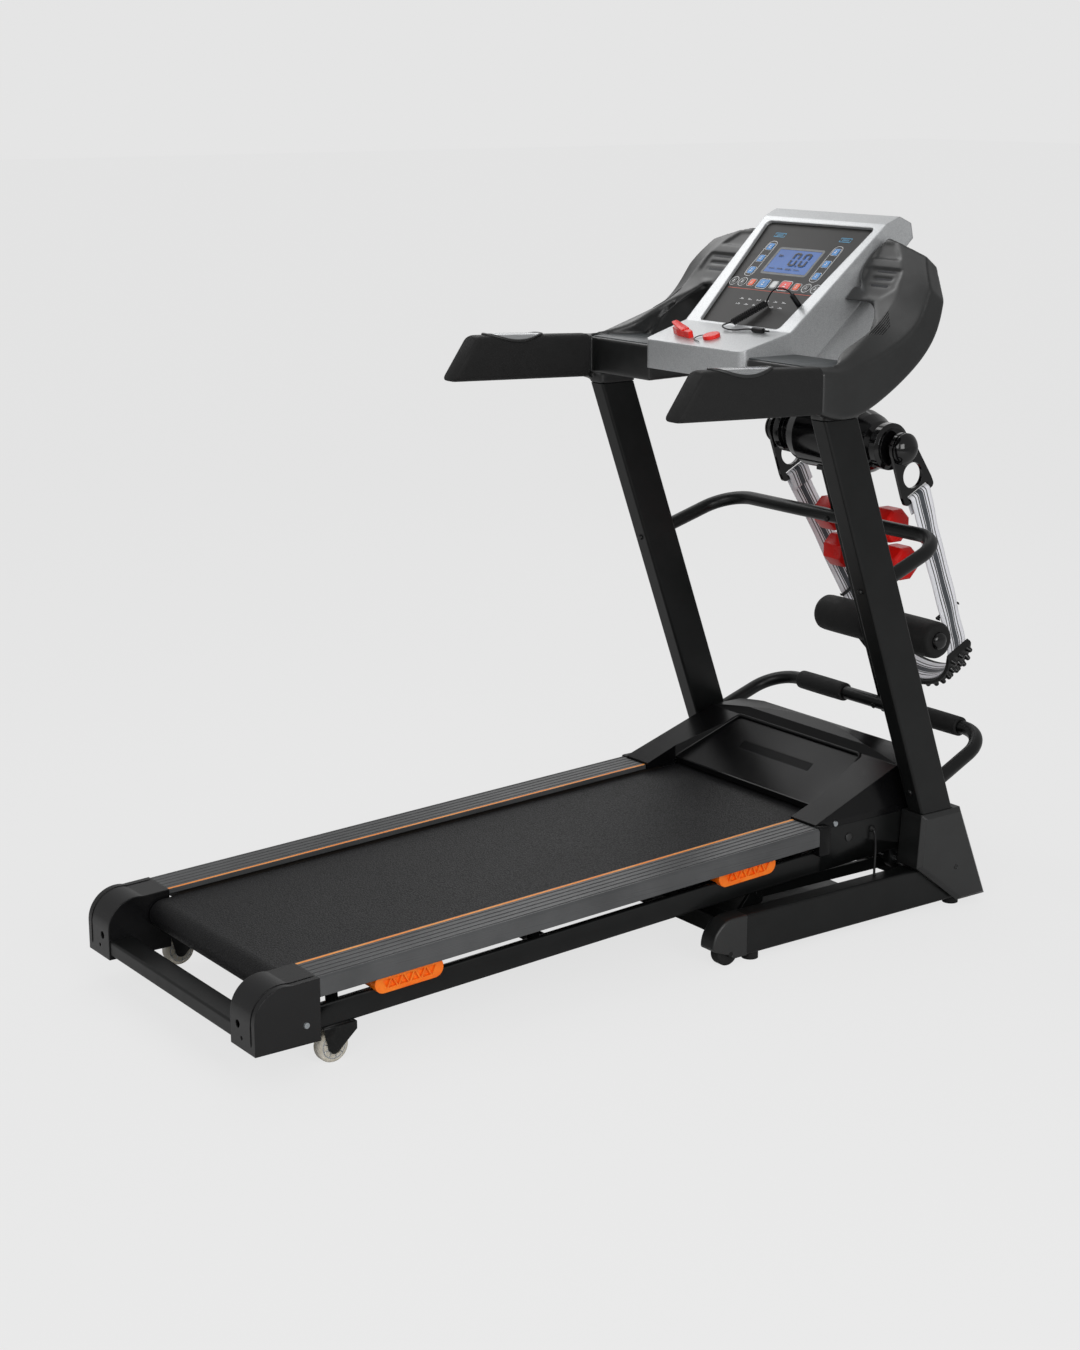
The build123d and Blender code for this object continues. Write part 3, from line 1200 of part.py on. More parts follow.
# Moulded handle arms: they carry the grips, sit on the uprights and sweep up to the console's sides.
# Stations along an arm: x and z of its upper face, its climb in degrees, then across the section the
# inner edge, the crest and the outer side from the grip's middle, the fall outside the crest, the depth
CONSOLE_EDGE = None
ARM_STATIONS = (
    (1166, 1118.0, 0, -22, 4, 22, 8, 87),
    (1240, 1127.0, 13, -23, 0, 23, 18, 106),
    (1322, 1163.0, 32, -42, -28, 20, 26, 98),
    (1389, 1205.0, 45, -92, -42, 16, 26, 84),
    (1434, 1263.0, 53, CONSOLE_EDGE, -61, 4, 18, 66),
    (1460, 1297.7, 53, CONSOLE_EDGE, -91, -2, 16, 52),
    (1502, 1353.4, 53, CONSOLE_EDGE, -139, -8, 14, 38),
)
ARM_CORNER_R = 7.0
ARM_TILT = 53.0
ARM_TOP = (REAR_X + 1481, -GRIP_Y + 139, 1326.0)
ARM_TOP_FALL = 14.0
ARM_CORNER = (REAR_X + 1466, -GRIP_Y + 40, 1306.0)
ARM_CORNER_FALL = 54.0
ARM_PANEL_D = 3.5
ARM_SLOTS_AT = (REAR_X + 1429, -GRIP_Y + 110, 1257.0)
ARM_SLOT_SIZE = (56.0, 6.0)
ARM_SLOT_PITCH = 16.0
ARM_BRIDGE_Z = (1040.0, 1112.0)
WEB_AT = (REAR_X + 1356, 0, 1171.0)
WEB_TILT = 44.6
WEB_HALF = 95.0
WEB_OUTER = (322.0, 314.0, 284.0, 244.0)
WEB_T = 5.0


def arm_plane(x, z, climb):
    """Section plane of an arm: its X runs outward to the right, its Y down and forward."""
    turn = radians(climb)
    return Plane((x, 0, z), x_dir=(0, -1, 0), z_dir=(cos(turn), 0, sin(turn)))


with BuildPart() as handle_arms:
    for x, z, climb, inner, crest, outer, fall, depth in ARM_STATIONS:
        shoulder = GRIP_Y + outer
        if inner is CONSOLE_EDGE:
            inner_y = console_side(REAR_X + x) + PIECE_GAP
        else:
            inner_y = GRIP_Y + inner
        with BuildSketch(arm_plane(REAR_X + x, z, climb)) as section:
            Polygon(
                (inner_y, 0),
                (GRIP_Y + crest, 0),
                (shoulder, fall),
                (shoulder, depth),
                (inner_y, depth),
                align=None,
            )
            fillet(section.vertices(), ARM_CORNER_R)
    loft()
    with BuildSketch(Plane.XY.offset(ARM_BRIDGE_Z[1])):
        far_x = CONSOLE_TOP_X + 40
        Polygon(
            (TRAY_FRONT_X, 0),
            (TRAY_FRONT_X, -console_side(TRAY_FRONT_X) - PIECE_GAP),
            (far_x, -console_side(far_x) - PIECE_GAP),
            (far_x, 0),
            align=None,
        )
    extrude(amount=CONSOLE_TOP_Z - ARM_BRIDGE_Z[1] + 40, mode=Mode.SUBTRACT)
    rear_face = Vector(-sin(radians(ARM_TILT)), 0, cos(radians(ARM_TILT)))
    climb_dir = Vector(cos(radians(ARM_TILT)), 0, sin(radians(ARM_TILT)))
    top_edge = Vector(0, -cos(radians(ARM_TOP_FALL)), 0) - climb_dir * sin(radians(ARM_TOP_FALL))
    split(bisect_by=Plane(ARM_TOP, x_dir=top_edge, z_dir=top_edge.cross(rear_face)), keep=Keep.TOP)
    corner_edge = Vector(0, -cos(radians(ARM_CORNER_FALL)), 0) - climb_dir * sin(radians(ARM_CORNER_FALL))
    split(bisect_by=Plane(ARM_CORNER, x_dir=corner_edge, z_dir=corner_edge.cross(rear_face)), keep=Keep.TOP)
    panel_plane = Plane(ARM_SLOTS_AT, x_dir=(0, -1, 0), z_dir=rear_face)
    with BuildSketch(panel_plane) as recess:
        Polygon((-54, -40), (22, -44), (48, -22), (44, 12), (22, 44), (-16, 76), (-54, 76), align=None)
        fillet(recess.vertices(), 8)
    extrude(amount=-ARM_PANEL_D, mode=Mode.SUBTRACT)
    with BuildSketch(panel_plane):
        for step in (-1, 0, 1):
            with Locations((3 * step, -ARM_SLOT_PITCH * step)):
                SlotOverall(*ARM_SLOT_SIZE)
    extrude(amount=-ARM_PANEL_D - 5, mode=Mode.SUBTRACT)
    web_out = Vector(-sin(radians(WEB_TILT)), 0, cos(radians(WEB_TILT)))
    web_step = WEB_HALF * cos(radians(WEB_TILT))
    with BuildSketch(Plane(WEB_AT, x_dir=(0, -1, 0), z_dir=web_out)):
        Polygon(
            (console_side(WEB_AT[0] - web_step) + PIECE_GAP, -WEB_HALF),
            (WEB_OUTER[0], -WEB_HALF),
            (WEB_OUTER[1], -WEB_HALF / 2),
            (WEB_OUTER[2], WEB_HALF / 4),
            (WEB_OUTER[3], WEB_HALF),
            (console_side(WEB_AT[0] + web_step) + PIECE_GAP, WEB_HALF),
            align=None,
        )
    extrude(amount=-WEB_T)
    seat_x = upright_rear(UPRIGHT_TOP_Z)
    with BuildSketch(Plane.XY.offset(UPRIGHT_TOP_Z)):
        with Locations((seat_x + UPRIGHT_DEPTH / 2, -UPRIGHT_INNER_Y - UPRIGHT_W / 2)):
            RectangleRounded(UPRIGHT_DEPTH + 4, UPRIGHT_W + 4, TUBE_CORNER + 2)
    extrude(amount=60)
    with BuildSketch(Plane.XY.offset(ARM_BRIDGE_Z[0])):
        inner_low = TRAY_FRONT_X + 12
        inner_high = TRAY_FRONT_X + 128
        Polygon(
            (inner_low, -console_side(inner_low)),
            (inner_low, 10 - GRIP_Y),
            (inner_high, 10 - GRIP_Y),
            (inner_high, -console_side(inner_high)),
            align=None,
        )
    extrude(amount=ARM_BRIDGE_Z[1] - ARM_BRIDGE_Z[0])
    mirror(about=Plane.XZ)
save(handle_arms, "handle_arms")

# Accessory post in front of the two bars, with the roller's axle and the dumbbell hooks
POST_SLOPE = (LOWER_BAR_X - UPPER_BAR_X) / (UPPER_BAR_Z - LOWER_BAR_Z)
POST_COS = cos(atan(POST_SLOPE))


def post_rear(z):
    """x of the post's rear face at a height, just in front of both bars."""
    return UPPER_BAR_X + POST_SLOPE * (UPPER_BAR_Z - z) + BAR_R / POST_COS


ROLLER_POST_X = post_rear(ROLLER_POST_Z) + ROLLER_POST_IN
DUMBBELL_X = [post_rear(z) + POST_DEPTH + DUMBBELL_OUT for z in DUMBBELL_Z]
with BuildPart() as accessory_post:
    for inset, mode in ((0.0, Mode.ADD), (TUBE_WALL, Mode.SUBTRACT)):
        with BuildSketch(Plane.XZ):
            Polygon(
                (post_rear(POST_TOP_Z) + inset, POST_TOP_Z),
                (post_rear(POST_TOP_Z) + POST_DEPTH - inset, POST_TOP_Z),
                (post_rear(POST_BOTTOM_Z) + POST_DEPTH - inset, POST_BOTTOM_Z),
                (post_rear(POST_BOTTOM_Z) + inset, POST_BOTTOM_Z),
                align=None,
            )
        extrude(amount=POST_W / 2 - inset, both=True, mode=mode)
    with BuildSketch(Plane.XZ):
        with Locations((ROLLER_POST_X, ROLLER_POST_Z)):
            Circle(FOAM_AXLE_R)
    extrude(amount=FOAM_Y[1] - 4, both=True)
    with BuildSketch(side(POST_W / 2)):
        for x, z in zip(DUMBBELL_X, DUMBBELL_Z):
            reach = DUMBBELL_HANDLE_R + 6
            face_x = post_rear(z) + POST_DEPTH
            with Locations((x, z)):
                Circle(reach)
            with Locations(((x + face_x) / 2 - 12, z - reach / 2)):
                Rectangle(x - face_x + 24, reach)
            with Locations(Location((x, z, 0), (0, 0, 45))):
                Circle(DUMBBELL_HANDLE_R + PIECE_GAP, mode=Mode.SUBTRACT)
                with Locations((reach, 0)):
                    Rectangle(2 * reach, 2 * (DUMBBELL_HANDLE_R + PIECE_GAP), mode=Mode.SUBTRACT)
    hooks = extrude(amount=RACK_T)
    mirror(hooks, about=Plane.XZ)
save(accessory_post, "accessory_post")

# Foam rollers turning on the post's axle
with BuildPart() as foam_rollers:
    with BuildSketch(side(FOAM_Y[0])):
        with Locations((ROLLER_POST_X, ROLLER_POST_Z)):
            Circle(FOAM_R)
    extrude(amount=FOAM_Y[1] - FOAM_Y[0])
    fillet(foam_rollers.edges().filter_by(GeomType.CIRCLE), 6)
    with BuildSketch(side(FOAM_Y[1])):
        with Locations((ROLLER_POST_X, ROLLER_POST_Z)):
            Circle(FOAM_CAP_R)
    extrude(amount=FOAM_CAP_H)
    fillet(foam_rollers.faces().sort_by(Axis.Y)[0].edges(), FOAM_CAP_H - 1)
    with BuildSketch(side(FOAM_Y[0])):
        with Locations((ROLLER_POST_X, ROLLER_POST_Z)):
            Circle(FOAM_AXLE_R + RUNNING_FIT)
    extrude(amount=FOAM_Y[1] - FOAM_Y[0] - 2, mode=Mode.SUBTRACT)
    mirror(about=Plane.XZ)
save(foam_rollers, "foam_rollers")

# Pair of dumbbells on the hooks
for node, x, z in zip(("dumbbell_upper", "dumbbell_lower"), DUMBBELL_X, DUMBBELL_Z):
    with BuildPart() as dumbbell:
        with BuildSketch(Plane(origin=(x, 0, z), x_dir=(0, 1, 0), z_dir=(1, 0, 0))):
            Polygon(
                (0, 0),
                (0, DUMBBELL_HANDLE_R),
                (DUMBBELL_HEAD_Y[0], DUMBBELL_HANDLE_R),
                (DUMBBELL_HEAD_Y[0], DUMBBELL_HEAD_R - 9),
                (DUMBBELL_HEAD_Y[0] + 9, DUMBBELL_HEAD_R),
                (DUMBBELL_HEAD_Y[1] - 9, DUMBBELL_HEAD_R),
                (DUMBBELL_HEAD_Y[1], DUMBBELL_HEAD_R - 9),
                (DUMBBELL_HEAD_Y[1], 0),
                align=None,
            )
        revolve(axis=Axis((x, 0, z), (0, 1, 0)))
        mirror(about=Plane.XZ)
    save(dumbbell, node)

# Massager: a barrel on the post with a spindle bore in each end
with BuildPart() as massager_body:
    with BuildSketch(Plane(origin=(MASSAGER_X, 0, MASSAGER_Z), x_dir=(0, 1, 0), z_dir=(1, 0, 0))):
        bore = SPINDLE_R + RUNNING_FIT
        neck = MASSAGER_FLANGE_R - 9
        Polygon(
            (0, 0),
            (0, MASSAGER_R),
            (MASSAGER_HALF - 24, MASSAGER_R),
            (MASSAGER_HALF, MASSAGER_R - 7),
            (MASSAGER_HALF + 22, MASSAGER_FLANGE_R),
            (MASSAGER_HALF + 30, neck),
            (MASSAGER_HALF + 38, neck),
            (MASSAGER_HALF + 40, MASSAGER_FLANGE_R),
            (MASSAGER_END_Y - 9, MASSAGER_FLANGE_R),
            (MASSAGER_END_Y - 6, neck),
            (MASSAGER_END_Y, neck),
            (MASSAGER_END_Y, bore),
            (MASSAGER_END_Y - 20, bore),
            (MASSAGER_END_Y - 20, 0),
            align=None,
        )
    revolve(axis=Axis((MASSAGER_X, 0, MASSAGER_Z), (0, 1, 0)))
    mirror(about=Plane.XZ)
    with BuildSketch(Plane.XY.offset(POST_TOP_Z)):
        with Locations((post_rear(POST_TOP_Z) + POST_DEPTH / 2, 0)):
            Rectangle(POST_DEPTH, 2 * POST_W)
    extrude(amount=MASSAGER_R)
save(massager_body, "massager_body")

# Driven spindles with their domed ends
with BuildPart() as massager_domes:
    with BuildSketch(Plane(origin=(MASSAGER_X, 0, MASSAGER_Z), x_dir=(0, 1, 0), z_dir=(1, 0, 0))):
        dome_y = -HOOK_Y - HOOK_T - 4
        with BuildLine():
            Polyline(
                (dome_y - 18, 4),
                (dome_y - 18, 0),
                (-MASSAGER_END_Y + 19, 0),
                (-MASSAGER_END_Y + 19, SPINDLE_R),
                (dome_y, SPINDLE_R),
                (dome_y, DOME_R),
                (dome_y - 3, DOME_R),
            )
            ThreePointArc((dome_y - 3, DOME_R), (dome_y - 13, DOME_R * 0.68), (dome_y - 18, 4))
        make_face()
    revolve(axis=Axis((MASSAGER_X, 0, MASSAGER_Z), (0, 1, 0)))
    mirror(about=Plane.XZ)
save(massager_domes, "massager_domes")

# Massage belt: hook plates on the spindles, a hanging strap and a nubbed pad
LEAN = radians(BELT_LEAN)
BELT_UP = Vector(-sin(LEAN), 0, cos(LEAN))
BELT_WIDE = Vector(cos(LEAN), 0, sin(LEAN))
HOOK_BAR_TOP = -HOOK_REACH + 8
SLOT_TOP = HOOK_BAR_TOP + 10
with BuildPart() as belt_hooks:
    with BuildSketch(Plane(origin=(MASSAGER_X, -HOOK_Y, MASSAGER_Z), x_dir=BELT_WIDE, z_dir=(0, -1, 0))):
        with BuildSketch(mode=Mode.PRIVATE) as plate:
            Polygon(
                (-2 * SPINDLE_R, -4),
                (-HOOK_HALF_W, 22 - HOOK_REACH),
                (-HOOK_HALF_W, -HOOK_REACH),
                (HOOK_HALF_W, -HOOK_REACH),
                (HOOK_HALF_W, 22 - HOOK_REACH),
                (2 * SPINDLE_R, -4),
                align=None,
            )
            fillet(plate.vertices().sort_by(Axis.Y)[:4], HOOK_CORNER_R)
        add(plate.sketch)
        Circle(2 * SPINDLE_R)
        Circle(SPINDLE_R + RUNNING_FIT, mode=Mode.SUBTRACT)
        with Locations((0, (HOOK_BAR_TOP + SLOT_TOP) / 2)):
            Rectangle(STRAP_W + 6, SLOT_TOP - HOOK_BAR_TOP, mode=Mode.SUBTRACT)
        with Locations((0, -HOOK_HOLE_AT)):
            Circle(HOOK_HOLE_R, mode=Mode.SUBTRACT)
    extrude(amount=HOOK_T)
    mirror(about=Plane.XZ)
save(belt_hooks, "belt_hooks")

STRAP_PLANE = Plane(origin=(MASSAGER_X, 0, MASSAGER_Z), x_dir=(0, 1, 0), z_dir=BELT_WIDE)
loop_r = HOOK_T / 2 + HOOK_SLACK + STRAP_T / 2
loop_z = HOOK_BAR_TOP - sqrt((loop_r - STRAP_T / 2 - PIECE_GAP) ** 2 - (HOOK_T / 2) ** 2)
hook_mid = HOOK_Y + HOOK_T / 2
leg_in, leg_low = STRAP_LEG_END
hang = hypot(hook_mid - leg_in, leg_low + loop_z)
slant = asin((hook_mid + loop_r - leg_in) / hang)
touch = Vector(-hook_mid - loop_r * cos(slant), loop_z - loop_r * sin(slant))
bottom_r = leg_in / cos(slant)
bottom_z = -leg_low + leg_in * tan(slant)
print("belt bottom radius", round(bottom_r, 1), "centre", round(bottom_z, 1), "slant", round(slant * 180 / pi, 2))
with BuildPart() as massage_strap:
    with BuildSketch(STRAP_PLANE):
        with BuildLine() as strap_line:
            inner_y = hook_mid - loop_r
            Line((-inner_y, loop_z - 34), (-inner_y, loop_z))
            ThreePointArc((-inner_y, loop_z), (-hook_mid, loop_z + loop_r), (touch.X, touch.Y))
            Line((touch.X, touch.Y), (-leg_in, -leg_low))
            ThreePointArc((-leg_in, -leg_low), (0, bottom_z - bottom_r), (leg_in, -leg_low))
            Line((leg_in, -leg_low), (-touch.X, touch.Y))
            ThreePointArc((-touch.X, touch.Y), (hook_mid, loop_z + loop_r), (inner_y, loop_z))
            Line((inner_y, loop_z), (inner_y, loop_z - 34))
        trace(line_width=STRAP_T)
    extrude(amount=STRAP_W / 2, both=True)
save(massage_strap, "massage_strap")

with BuildPart() as massage_pad:
    pad_in = bottom_r + STRAP_T / 2
    pad_out = pad_in + PAD_T
    with BuildSketch(STRAP_PLANE):
        with BuildLine():
            CenterArc((0, bottom_z), pad_in, -90 - PAD_SPREAD, 2 * PAD_SPREAD)
            CenterArc((0, bottom_z), pad_out, -90 - PAD_SPREAD, 2 * PAD_SPREAD)
            for turn in (-90 - PAD_SPREAD, -90 + PAD_SPREAD):
                foot = (pad_in * cos(radians(turn)), bottom_z + pad_in * sin(radians(turn)))
                PolarLine(foot, PAD_T, turn)
        make_face()
    extrude(amount=PAD_W / 2, both=True)
    for row in range(NODULE_ROWS):
        turn = radians(-90 + NODULE_STEP * (row - (NODULE_ROWS - 1) / 2))
        for shift in (-24, 0, 24):
            out = STRAP_PLANE.x_dir * cos(turn) + STRAP_PLANE.y_dir * sin(turn)
            hub = STRAP_PLANE.from_local_coords(Vector(0, bottom_z, shift))
            with BuildSketch(Plane(hub + out * (pad_out - 1), z_dir=out)):
                Circle(NODULE_R)
            extrude(amount=NODULE_H, taper=22)
save(massage_pad, "massage_pad")

# Screws, bolts and wheel axles of the standing frame
LEAN_UP = Vector(-UPRIGHT_SLOPE, 0, 1).normalized()
LEAN_BACK = Vector(-1, 0, -UPRIGHT_SLOPE).normalized()
with BuildPart() as frame_bolts:
    for y in (-UPRIGHT_INNER_Y - UPRIGHT_W / 2, UPRIGHT_INNER_Y + UPRIGHT_W / 2):
        for z in UPRIGHT_BOLTS_Z:
            with BuildSketch(Plane((upright_rear(z), y, z), z_dir=LEAN_BACK)):
                Circle(BOLT_R)
            extrude(amount=BOLT_H, taper=20)
    for x, z in ((UPPER_BAR_X, UPPER_BAR_Z), (LOWER_BAR_X, LOWER_BAR_Z)):
        spot = Vector(x, 0, z) + LEAN_BACK * (BAR_R - 1)
        with BuildSketch(Plane(spot, z_dir=LEAN_BACK)):
            Circle(BOLT_R)
        extrude(amount=BOLT_H + 1)
    with BuildSketch(Plane.XZ):
        with Locations((UPPER_BAR_X, UPPER_BAR_Z), (LOWER_BAR_X, LOWER_BAR_Z)):
            Circle(BAR_R)
    extrude(amount=2 * BOLT_R, both=True, mode=Mode.SUBTRACT)
    for y in (-BASE_MID_Y, BASE_MID_Y):
        with BuildSketch(Plane.XZ.offset(-y)):
            with Locations((TRANSPORT_WHEEL_X, TRANSPORT_WHEEL_R)):
                Circle(TRANSPORT_AXLE_R)
        extrude(amount=BASE_TUBE_W / 2, both=True)
save(frame_bolts, "frame_bolts")

# Screws of the deck: in the sides of the end caps and the hood
with BuildPart() as deck_screws:
    for y, x, z in (
        (CAP_OUTER_Y, REAR_X + 98, 92),
        (HOOD_HALF_W, REAR_X + 1298, 214),
    ):
        with BuildSketch(side(y)):
            with Locations((x, z)):
                Circle(BOLT_R)
        extrude(amount=BOLT_H - 1, taper=20)
    mirror(about=Plane.XZ)
save(deck_screws, "deck_screws")

# Safety key: a magnetic disc on the tray and the clip on its lanyard
with BuildPart() as safety_key:
    with BuildSketch(TRAY):
        with Locations((SAFETY_DISC_AT, SAFETY_DISC_Y)):
            Circle(SAFETY_DISC_R)
    extrude(amount=SAFETY_DISC_H)
    fillet(safety_key.faces().sort_by(Axis.Z)[-1].edges(), 2)
    with BuildSketch(TRAY):
        with Locations(Location((42, 74, 0), (0, 0, 75))):
            Polygon((-34, -5), (10, -10), (34, -7), (34, 7), (10, 10), (-34, 5), align=None)
    extrude(amount=13)
save(safety_key, "safety_key")

# Lanyard from the disc to the clip
def bend_radii(points):
    """Bend radii that leave a straight middle in every run of a cord."""
    radii = []
    for before, here, after in zip(points, points[1:], points[2:]):
        run_in = here - before
        run_out = after - here
        half_turn = radians(run_in.get_angle(run_out)) / 2
        radii.append(0.45 * min(run_in.length, run_out.length) / tan(half_turn))
    return radii


def tray_points(*spots):
    """World points from distances along, across and above the tray."""
    return [TRAY.from_local_coords(Vector(*spot)) for spot in spots]


with BuildPart() as safety_cord:
    lanyard = tray_points(
        (SAFETY_DISC_AT, SAFETY_DISC_Y + SAFETY_DISC_R + 0.1, SAFETY_DISC_H / 2),
        (SAFETY_DISC_AT - 2, SAFETY_DISC_Y + SAFETY_DISC_R + 12, 3),
        (SAFETY_DISC_AT - 16, SAFETY_DISC_Y + SAFETY_DISC_R + 16, 2),
        (SAFETY_DISC_AT - 26, SAFETY_DISC_Y + SAFETY_DISC_R + 6, 2),
        (SAFETY_DISC_AT - 30, SAFETY_DISC_Y + SAFETY_DISC_R - 14, 2),
    )
    lanyard_radii = bend_radii(lanyard)
    with BuildLine() as lanyard_path:
        FilletPolyline(*lanyard, radius=lanyard_radii)
    with BuildSketch(Plane(lanyard_path.line @ 0, z_dir=lanyard_path.line % 0)):
        Circle(LANYARD_R)
    sweep()
print("lanyard radii", [round(radius, 1) for radius in lanyard_radii])
save(safety_cord, "safety_cord")

# Plugs of the audio lead: one in the panel's socket, one lying on the tray
with BuildPart() as audio_plugs:
    with BuildSketch(PANEL):
        with Locations((JACK_AT, JACK_Y)):
            Circle(PLUG_R)
    extrude(amount=PLUG_L)
    chamfer(audio_plugs.faces().sort_by(Axis.Z)[-1].edges(), 2)
    with BuildSketch(PANEL):
        with Locations((JACK_AT, JACK_Y)):
            Circle(PLUG_R - 2.3)
    extrude(amount=-PANEL_T)
    loose = TRAY.from_local_coords(Vector(*LOOSE_PLUG))
    with BuildSketch(Plane(loose, x_dir=TRAY.x_dir, z_dir=(0, -1, 0))):
        Circle(PLUG_R)
    extrude(amount=PLUG_L)
    with BuildSketch(Plane(loose + Vector(0, -PLUG_L, 0), x_dir=TRAY.x_dir, z_dir=(0, -1, 0))):
        Circle(PLUG_TIP_R)
    extrude(amount=PLUG_TIP_L)
save(audio_plugs, "audio_plugs")


def biarc(start, start_dir, end, end_dir):
    """Draw two arcs that leave a point and reach another along given directions."""
    chord = end - start
    spread = start_dir + end_dir
    a = 4 - spread.dot(spread)
    b = 2 * chord.dot(spread)
    reach = (-b + (b * b + 4 * a * chord.dot(chord)) ** 0.5) / (2 * a)
    near = start + start_dir * reach
    far = end - end_dir * reach
    middle = (near + far) * 0.5
    TangentArc(start, middle, tangent=start_dir)
    TangentArc(middle, end, tangent=far - near)


# Audio lead: over from the plug, down a curl and along the tray to the loose plug
CURL_FROM = PANEL.from_local_coords(Vector(CURL_START_AT, CURL_START_Y, CURL_R + CORD_R + 1))
CURL_TO = PANEL.from_local_coords(Vector(CURL_END_AT, CURL_END_Y, CURL_R + CORD_R + BEZEL_H + 1))
CURL_AXIS = (CURL_TO - CURL_FROM).normalized()
CURL_E1 = CURL_AXIS.cross(PANEL.z_dir).normalized()
CURL_E2 = CURL_AXIS.cross(CURL_E1)
CURL_PITCH = (CURL_TO - CURL_FROM).length / CURL_TURNS


def curl_point(turns):
    """Point of the curl after a number of turns."""
    angle = 2 * pi * turns + CURL_PHASE
    round_axis = CURL_E1 * (CURL_R * cos(angle)) + CURL_E2 * (CURL_R * sin(angle))
    return CURL_FROM + CURL_AXIS * (CURL_PITCH * turns) + round_axis


def curl_dir(turns):
    """Direction of the curl after a number of turns."""
    angle = 2 * pi * turns + CURL_PHASE
    swing = 2 * pi * CURL_R
    return (CURL_E1 * (-swing * sin(angle)) + CURL_E2 * (swing * cos(angle)) + CURL_AXIS * CURL_PITCH).normalized()


curl_steps = 2 * CURL_TURNS
curl_in = curl_point(0)
curl_out = curl_point(CURL_TURNS)
lead_in = [PANEL.from_local_coords(Vector(*spot)) for spot in LEAD_OVER]
lead_in = lead_in + [curl_in - curl_dir(0) * (4 * CORD_R), curl_in]
lead_out = [curl_out, curl_out + curl_dir(CURL_TURNS) * (4 * CORD_R)]
lead_out = lead_out + tray_points(*LEAD_TAIL, LOOSE_PLUG)
with BuildPart() as audio_lead:
    with BuildLine() as lead_path:
        FilletPolyline(*lead_in, radius=bend_radii(lead_in))
        for step in range(curl_steps):
            turns = step / 2
            biarc(curl_point(turns), curl_dir(turns), curl_point(turns + 0.5), curl_dir(turns + 0.5))
        FilletPolyline(*lead_out, radius=bend_radii(lead_out))
    with BuildSketch(Plane(lead_in[0], z_dir=lead_in[1] - lead_in[0])):
        Circle(CORD_R)
    sweep(path=lead_path.wires()[0])
samples = [lead_path.wires()[0] @ (number / 2400) for number in range(2401)]
lead_length = lead_path.wires()[0].length
apart = int(2400 * pi * CURL_R / lead_length)
nearest = min(
    (samples[one] - samples[two]).length
    for one in range(0, 2401, 2)
    for two in range(one + apart, min(one + 4 * apart, 2401), 2)
)
print("lead radii", [round(r, 1) for r in bend_radii(lead_in)], [round(r, 1) for r in bend_radii(lead_out)])
print("lead volume ratio", round(audio_lead.part.volume / (pi * CORD_R**2 * lead_length), 3))
print("least gap between turns", round(nearest - 2 * CORD_R, 2))
save(audio_lead, "audio_lead")
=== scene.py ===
"""Looks for the folding treadmill: finishes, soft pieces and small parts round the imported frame."""

from math import asin, atan, cos, hypot, pi, radians, sin, tan

import bmesh
import bpy
from mathutils import Matrix, Vector
from mathutils.bvhtree import BVHTree


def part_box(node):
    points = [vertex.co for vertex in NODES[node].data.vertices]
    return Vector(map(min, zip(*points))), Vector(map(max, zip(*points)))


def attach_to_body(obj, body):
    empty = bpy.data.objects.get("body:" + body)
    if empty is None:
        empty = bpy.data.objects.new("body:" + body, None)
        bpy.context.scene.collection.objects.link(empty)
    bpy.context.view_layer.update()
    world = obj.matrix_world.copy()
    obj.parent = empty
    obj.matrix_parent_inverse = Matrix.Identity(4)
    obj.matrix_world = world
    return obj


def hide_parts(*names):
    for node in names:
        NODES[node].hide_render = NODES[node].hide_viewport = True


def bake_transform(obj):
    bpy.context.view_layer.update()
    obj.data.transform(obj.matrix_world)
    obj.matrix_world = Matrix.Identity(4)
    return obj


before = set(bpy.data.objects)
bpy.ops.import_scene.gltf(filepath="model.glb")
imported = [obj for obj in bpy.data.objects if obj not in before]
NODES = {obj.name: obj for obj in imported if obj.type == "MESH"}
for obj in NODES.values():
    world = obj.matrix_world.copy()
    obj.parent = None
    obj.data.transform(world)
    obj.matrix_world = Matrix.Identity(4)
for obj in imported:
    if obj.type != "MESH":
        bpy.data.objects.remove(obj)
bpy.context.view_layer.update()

# The rear face of the deck's end caps, from which lengths along the machine are given
REAR_X = -0.93144
ORIGIN = Vector((0, 0, 0))
AHEAD = Vector((1, 0, 0))
ACROSS = Vector((0, 1, 0))
UP = Vector((0, 0, 1))
SIDES = (-1, 1)
OTHER_SIDE = Vector((1, -1, 1))


def at(x, y, z):
    """A point from millimetres: x from the caps' rear face, y to the user's left, z up."""
    return Vector((REAR_X + x / 1000, y / 1000, z / 1000))


def tilted(angle):
    """The directions up a slope that climbs forward, and off it."""
    return Vector((cos(angle), 0, sin(angle))), Vector((-sin(angle), 0, cos(angle)))


def put(name, data):
    """A new object in the scene."""
    thing = bpy.data.objects.new(name, data)
    bpy.context.scene.collection.objects.link(thing)
    return thing


def slope(foot, angle):
    """A way to lay points on a slope that climbs forward: millimetres up it, to the left and off its face."""
    along, out = tilted(angle)

    def lay(run, y, off):
        return foot + (along * run + ACROSS * y + out * off) / 1000

    return lay


# The control panel, and the tray before it
PANEL_TILT = radians(41.6)
on_panel = slope(at(1284, 0, 1153.5), PANEL_TILT)
on_tray = slope(at(1165, 0, 1125), atan(0.27073))

# Camera of the product photograph: its place, its aim and its lens
CAMERA_PLACE = Vector((REAR_X - 1.7336, -3.5378, 1.6367))
CAMERA_AZIMUTH = radians(-35.66)
CAMERA_DROP = radians(14.32)
CAMERA_ROLL = radians(-0.06)
CAMERA_LENS = 63.13

